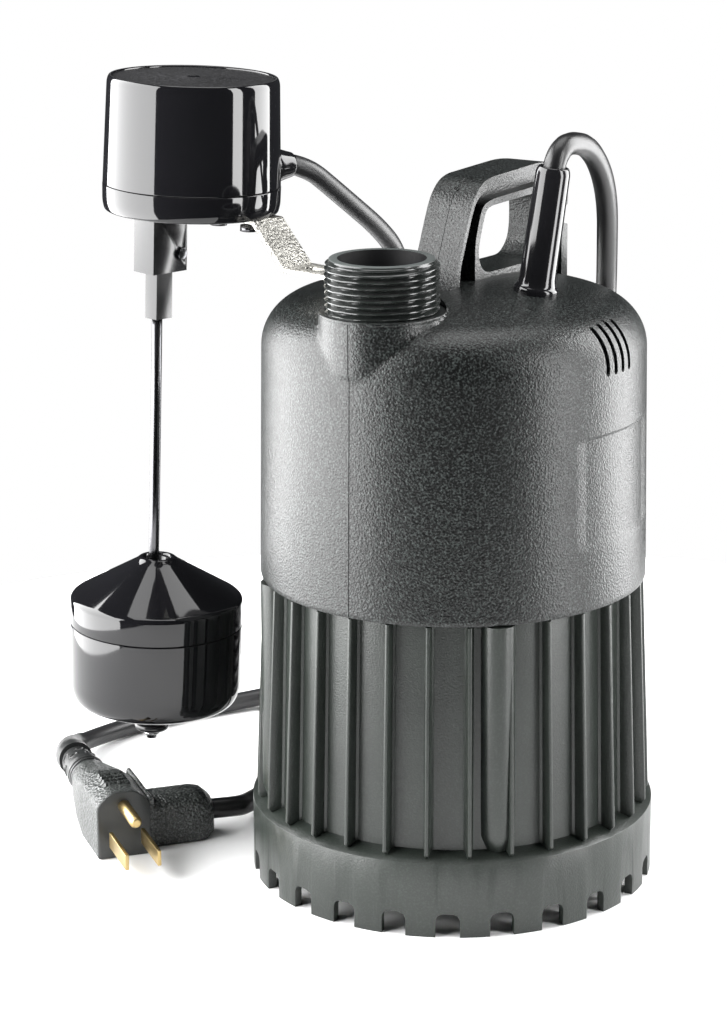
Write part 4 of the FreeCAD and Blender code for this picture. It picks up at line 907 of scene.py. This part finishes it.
def make_float():
    """The float's two glossy halves with a fine groove between them, and the rod's dish."""
    upper = rounded([(5.0, 107.0), (31.8, 93.8), (31.8, 84.75), (33.85, 84.75, 0.3),
                     (33.8, 94.6, 0.8), (32.8, 95.7, 0.9), (8.4, 110.0, 1.5), (6.8, 111.4, 0.6),
                     (5.6, 111.4, 0.4), (5.0, 110.6)], 5)
    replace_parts(turned_piece("float_upper", upper, "float", "switch_plastic", FLOAT_FRAME, 160),
                "float_top")
    lower = rounded([(5.0, 50.6), (26.2, 50.6, 3.5), (31.4, 52.6, 3.0), (33.4, 57.4, 3.0),
                     (33.9, 84.45, 0.3), (31.8, 84.45), (31.0, 62.0), (27.0, 54.6),
                     (22.0, 52.6), (5.0, 52.6)], 6)
    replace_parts(turned_piece("float_lower", lower, "float", "switch_plastic", FLOAT_FRAME, 160),
                "float_bottom")
    dish = rounded([(0.0, 42.4), (6.5, 42.4, 0.4), (7.0, 41.0, 0.8), (6.2, 39.6, 1.0),
                    (2.2, 38.9, 0.3), (2.1, 36.6, 0.5), (0.0, 36.2)], 4)
    rod_place = LEANING @ Matrix.Translation((ROD_OFFSET, 0, 0))
    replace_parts(turned_piece("float_dish", dish, "rod", "guide_plastic", rod_place, 64),
                "float_stop")


# ---- carry handle
HANDLE_HALF, CHANNEL_DEPTH = 9.2, 5.4
HANDLE_OUTSIDE = [(-24, 216, 0), (-20.4, 226.6, 4), (-16.5, 230, 2), (-13.2, 234.6, 3),
                  (-10.4, 240, 3), (-6, 250.6, 4), (-2.6, 257.6, 4), (0.6, 261.4, 3),
                  (4.6, 264.2, 3), (10, 265.6, 3), (46, 266.3, 6), (57, 265, 5), (66.6, 262.8, 2),
                  (69, 261, 1), (69.4, 247.2, 1), (64.6, 246.2, 1), (63.4, 243.4, 1),
                  (64.6, 240.8, 1), (69.4, 239.6, 1), (69.6, 206, 0), (52, 206, 0), (46, 216, 0)]
HANDLE_INSIDE = [(12.4, 230.4, 3), (47, 229.4, 3), (50.6, 230.8, 3), (54.4, 234.2, 3),
                 (56, 239, 3), (56.2, 247, 3), (55.4, 252.4, 2), (53, 255.2, 2), (12, 255, 2),
                 (8.6, 254.4, 2), (6.8, 252.6, 2), (4.6, 247.4, 3), (2.2, 241, 3),
                 (2.4, 236.4, 3), (4.6, 232.6, 2), (8, 230.8, 2)]
HANDLE_CHANNEL = [(-12, 222, 0), (-10.6, 235, 4), (-8, 241, 3), (-3.6, 251.2, 4),
                  (-0.4, 257.4, 3), (4.6, 260.6, 3), (11, 261.6, 3), (46, 262, 6), (62, 259.4, 2),
                  (64, 257, 2), (64.4, 249, 1), (61, 247.4, 1), (60, 243.4, 1), (61, 239.4, 1),
                  (64.8, 236.4, 1), (65, 202, 0), (58, 202, 0), (58.6, 230, 4), (59.4, 240, 4),
                  (58.4, 251.6, 3), (54.6, 257.8, 3), (11.4, 257.4, 3), (5.6, 256, 2), (3, 252, 3),
                  (-0.2, 243, 3), (-0.4, 236, 3), (0, 222, 0)]


def slab(edit, outline, low, high):
    """A plate between two X places with an outline of (y, z) points."""
    points = rounded(outline, 4)
    loft(edit, [[(low, y, z) for y, z in points], [(high, y, z) for y, z in points]])


def make_handle():
    edit = bmesh.new()
    slab(edit, HANDLE_OUTSIDE, -HANDLE_HALF, HANDLE_HALF)
    handle = piece_of("loop_handle", edit, "pump", "cover_plastic")
    cutters = [(HANDLE_INSIDE, -20, 20), (HANDLE_CHANNEL, HANDLE_HALF - CHANNEL_DEPTH, 20),
               (HANDLE_CHANNEL, -20, CHANNEL_DEPTH - HANDLE_HALF)]
    for outline, low, high in cutters:
        cutter = bmesh.new()
        slab(cutter, outline, low, high)
        cut_away(handle, loose_object("cutter", cutter))
    below = bmesh.new()
    lathe(below, [(0.0, 190.0)] + Dome(0.4).outline(190.0), 96)
    cut_away(handle, loose_object("below", below))
    smooth_by_angle(handle.data)
    round_edges(handle, 0.75, 50.0, 3)
    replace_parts(handle, "carry_handle")
    make_handle_line()


def make_handle_line():
    """The mould line up the front of the handle, and the gate mark near its top."""
    path = [point for point in rounded(HANDLE_OUTSIDE, 4) if point[0] < 10 and point[1] > 224]
    path.sort()
    sections = []
    for (y, z), (next_y, next_z) in zip(path, path[1:]):
        ahead = Vector((0, next_y - y, next_z - z)).normalized()
        out = Vector((0, -ahead.z, ahead.y))
        here = Vector((0, y, z))
        sections.append([here + Vector((x, 0, 0)) + out * lift
                         for x, lift in ((-0.3, -0.4), (-0.12, 0.16), (0.12, 0.16), (0.3, -0.4))])
    edit = bmesh.new()
    loft(edit, sections)
    piece_of("handle_mould_line", edit, "pump", "cover_plastic")
    gate = rounded([(0.0, -0.5), (1.3, -0.5), (1.3, 0.3, 0.25), (0.9, 0.3), (0.8, 0.05),
                    (0.0, 0.05)])
    turned_piece("handle_gate_mark", gate, "pump", "cover_plastic",
                 standing((0, 1.5, 261.9), (0, -0.64, 0.77)), 32)


# ---- cord boot on the cover
def make_power_boot():
    """A glossy moulded sleeve with a foot flange, ending in a slanted lip."""
    foot, tip = Vector((32.5, 3.5, 226.8)), Vector((37.6, 6.6, 272.0))
    outline = rounded([(0.0, -4.0), (7.0, -4.0), (8.2, -1.0), (8.2, 1.6, 0.7), (7.2, 2.6, 0.7),
                       (6.7, 5.0, 1.0), (6.3, 44.0, 1.0), (5.6, 46.0, 0.5), (4.3, 46.0, 0.3),
                       (4.3, 42.0), (0.0, 42.0)], 4)
    boot = turned_piece("cord_boot", outline, "pump", "boot_rubber",
                        standing(foot, tip - foot), 96)
    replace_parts(boot, "power_cord_boot")


# ---- plugs
PLUG_FACE = Vector((-107.5, -68.0, 0.0))
PLUG_HEADING = math.atan2(-0.614, 0.789)
PLUG_FRAME = Matrix.Translation(PLUG_FACE) @ Matrix.Rotation(PLUG_HEADING, 4, "Z")


def plug_piece(name, edit, place=PLUG_FRAME, angle=40.0):
    return piece_of(name, edit, "pump", "plug_plastic", place, angle)


def plug_section(x, half, low, shoulder, top, corner=1.2):
    """A plug's section across its length: square below, with a narrower rounded top."""
    brow = 0.45 * half
    outline = rounded([(-half, low, corner), (half, low, corner), (half, shoulder, 2.2),
                       (brow, top, 2.2), (-brow, top, 2.2), (-half, shoulder, 2.2)], 3)
    return [(x, y, z) for y, z in outline]


def make_piggyback_plug():
    """The moulded block with its ribbed grip, the plain face, the neck and the slotted sleeve."""
    edit = bmesh.new()
    stations = [(-56.0, 6.6, 7.0, 15.0, 20.0), (-54.0, 7.6, 6.2, 16.0, 21.0),
                (-46.0, 8.8, 5.0, 17.5, 22.5), (-38.0, 10.1, 3.6, 19.0, 24.0),
                (-30.0, 10.6, 1.2, 21.0, 26.0), (-26.0, 10.7, 0.0, 22.0, 26.8),
                (-0.9, 10.7, 0.0, 22.0, 27.0)]
    loft(edit, [plug_section(*station) for station in stations])
    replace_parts(plug_piece("piggyback_block", edit), "piggyback_plug")
    face = bmesh.new()
    loft(face, [plug_section(-1.2, 10.6, 0.1, 21.9, 26.9),
                plug_section(-0.3, 10.6, 0.1, 21.9, 26.9),
                plug_section(0.0, 10.3, 0.4, 21.6, 26.6)])
    finish_in(plug_piece("piggyback_face", face), "plug_face")
    ledge = bmesh.new()
    loft(ledge, [plug_section(x, 1.1, 0.6, 21.8, 22.6, 0.4) for x in (-36.0, -2.0)])
    ledge.transform(Matrix.Translation((0, 11.5, 0)))
    plug_piece("piggyback_ledge", ledge)
    for rib in range(4):
        grip = bmesh.new()
        start = -11.0 - 3.3 * rib
        loft(grip, [[(start + x, y, z) for y, z in ((-7.4, 23.2), (-4.6, 27.0 + lift),
                                                    (4.6, 27.0 + lift), (7.4, 23.2))]
                    for x, lift in ((0.0, 0.0), (0.5, 0.8), (1.4, 0.8), (1.9, 0.0))])
        plug_piece("piggyback_rib_%d" % rib, grip, angle=30.0)
    make_plug_neck()
    make_relief()


RELIEF_FAT, RELIEF_TAPER, RELIEF_STRAIGHT, RELIEF_SLOPE, RELIEF_LENGTH = 7.1, 2.6, 9.0, 26.0, 37.0


def make_relief():
    """The fat tapered sleeve that bends with the cord behind the plug.

    Its path is worked out from the last four points of the cord's route."""
    far, bend, twist, near = (Vector(point) for point in SWITCH_TAIL[-4:])
    spans = [((far + bend) / 2, bend, (bend + twist) / 2), ((bend + twist) / 2, twist, near)]
    path, steps, sides = [], 24, 40
    for first, pull, last in spans:
        for step in range(steps):
            share = step / steps
            path.append(first * (1 - share) ** 2 + pull * 2 * share * (1 - share)
                        + last * share ** 2)
    path.append(near)
    reach, sections = 0.0, []
    for place, after in zip(reversed(path[:-1]), reversed(path[1:])):
        reach += (after - place).length
        ahead = (after - place).normalized()
        side = ahead.cross(Vector((0, 0, 1))).normalized()
        up = side.cross(ahead)
        thinner = min(1.0, max(0.0, reach - RELIEF_STRAIGHT) / RELIEF_SLOPE)
        radius = RELIEF_FAT - RELIEF_TAPER * thinner
        turns = [2 * math.pi * step / sides for step in range(sides)]
        sections.append([place + (side * math.cos(turn) + up * math.sin(turn)) * radius
                         for turn in turns])
        if reach > RELIEF_LENGTH:
            break
    edit = bmesh.new()
    loft(edit, sections)
    finish_in(plug_piece("plug_relief", edit, None, SMOOTH_ANGLE), "neck_rubber")


def make_plug_neck():
    """The grooved collar behind the block and the sleeve round the cord, with its oval slots."""
    outline = [(0.0, -3.0), (7.6, -3.0)]
    for groove in range(4):
        start = -2.0 + 2.6 * groove
        outline += [(7.9, start, 0.3), (7.9, start + 1.5, 0.3), (7.0, start + 1.8, 0.2),
                    (7.0, start + 2.5, 0.2)]
    outline += [(7.4, 9.0, 0.6), (7.2, 13.0, 1.0), (6.2, 24.0, 1.5), (5.2, 25.6, 0.6), (4.0, 25.8),
                (0.0, 25.8)]
    back = Vector((-0.93, 0.0, -0.02))
    place = PLUG_FRAME @ standing((-53.0, 0.0, 13.2), back)
    neck = turned_piece("piggyback_neck", rounded(outline, 3), "pump", "plug_plastic", place, 64)
    finish_in(neck, "neck_rubber")
    for ring, along in enumerate((13.5, 19.0)):
        for step in range(6):
            turn = math.radians(60.0 * step + 30.0 * ring)
            edit = bmesh.new()
            lathe(edit, [(0.0, -0.6), (1.2, -0.6), (1.5, 0.2), (1.1, 0.45), (0.8, 0.1),
                         (0.0, 0.0)], 20)
            edit.transform(Matrix.Diagonal((1.6, 0.8, 1.0, 1.0)))
            out = Vector((math.cos(turn), math.sin(turn), 0.0))
            spot = standing(out * (7.0 - 0.09 * (along - 13.0)) + Vector((0, 0, along)), out)
            slot = plug_piece("sleeve_slot_%d_%d" % (ring, step), edit, place @ spot, SMOOTH_ANGLE)
            finish_in(slot, "neck_rubber")


def make_pump_plug():
    """The pump's own plug: a plain pebbled block with a sloped back end."""
    edit = bmesh.new()
    stations = [(0.0, 9.4, 0.4, 17.2, 19.2), (0.8, 9.6, 0.1, 17.4, 19.6),
                (19.0, 9.6, 0.1, 17.4, 19.6), (22.5, 9.2, 0.6, 16.6, 18.8),
                (25.5, 7.0, 2.2, 13.4, 16.2), (26.2, 5.6, 3.2, 11.8, 14.6)]
    loft(edit, [plug_section(*station) for station in stations])
    aside = Matrix.Translation((-14.5, 12.65, 0)) @ Matrix.Rotation(math.pi / 2, 4, "Z")
    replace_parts(plug_piece("cord_plug", edit, PLUG_FRAME @ aside), "pump_plug")


make_camera()
make_cords()
make_lights()
make_world()
make_floor()
dress_nodes()
make_cover()
make_housing()
make_riser()
make_switch()
make_float()
make_handle()
make_power_boot()
make_piggyback_plug()
make_pump_plug()
BEVELS = {"base_strainer": 0.5, "guide_block": 0.35, "rod_holder": 0.4, "mounting_strap": 0.25,
          "piggyback_blades": 0.25, "pump_plug_blades": 0.25, "strap_screw": 0.3,
          "guide_pin": 0.3}
for node_name, node in NODES.items():
    soften(node, BEVELS.get(node_name, 0.0))

bpy.context.scene.view_settings.view_transform = "Standard"
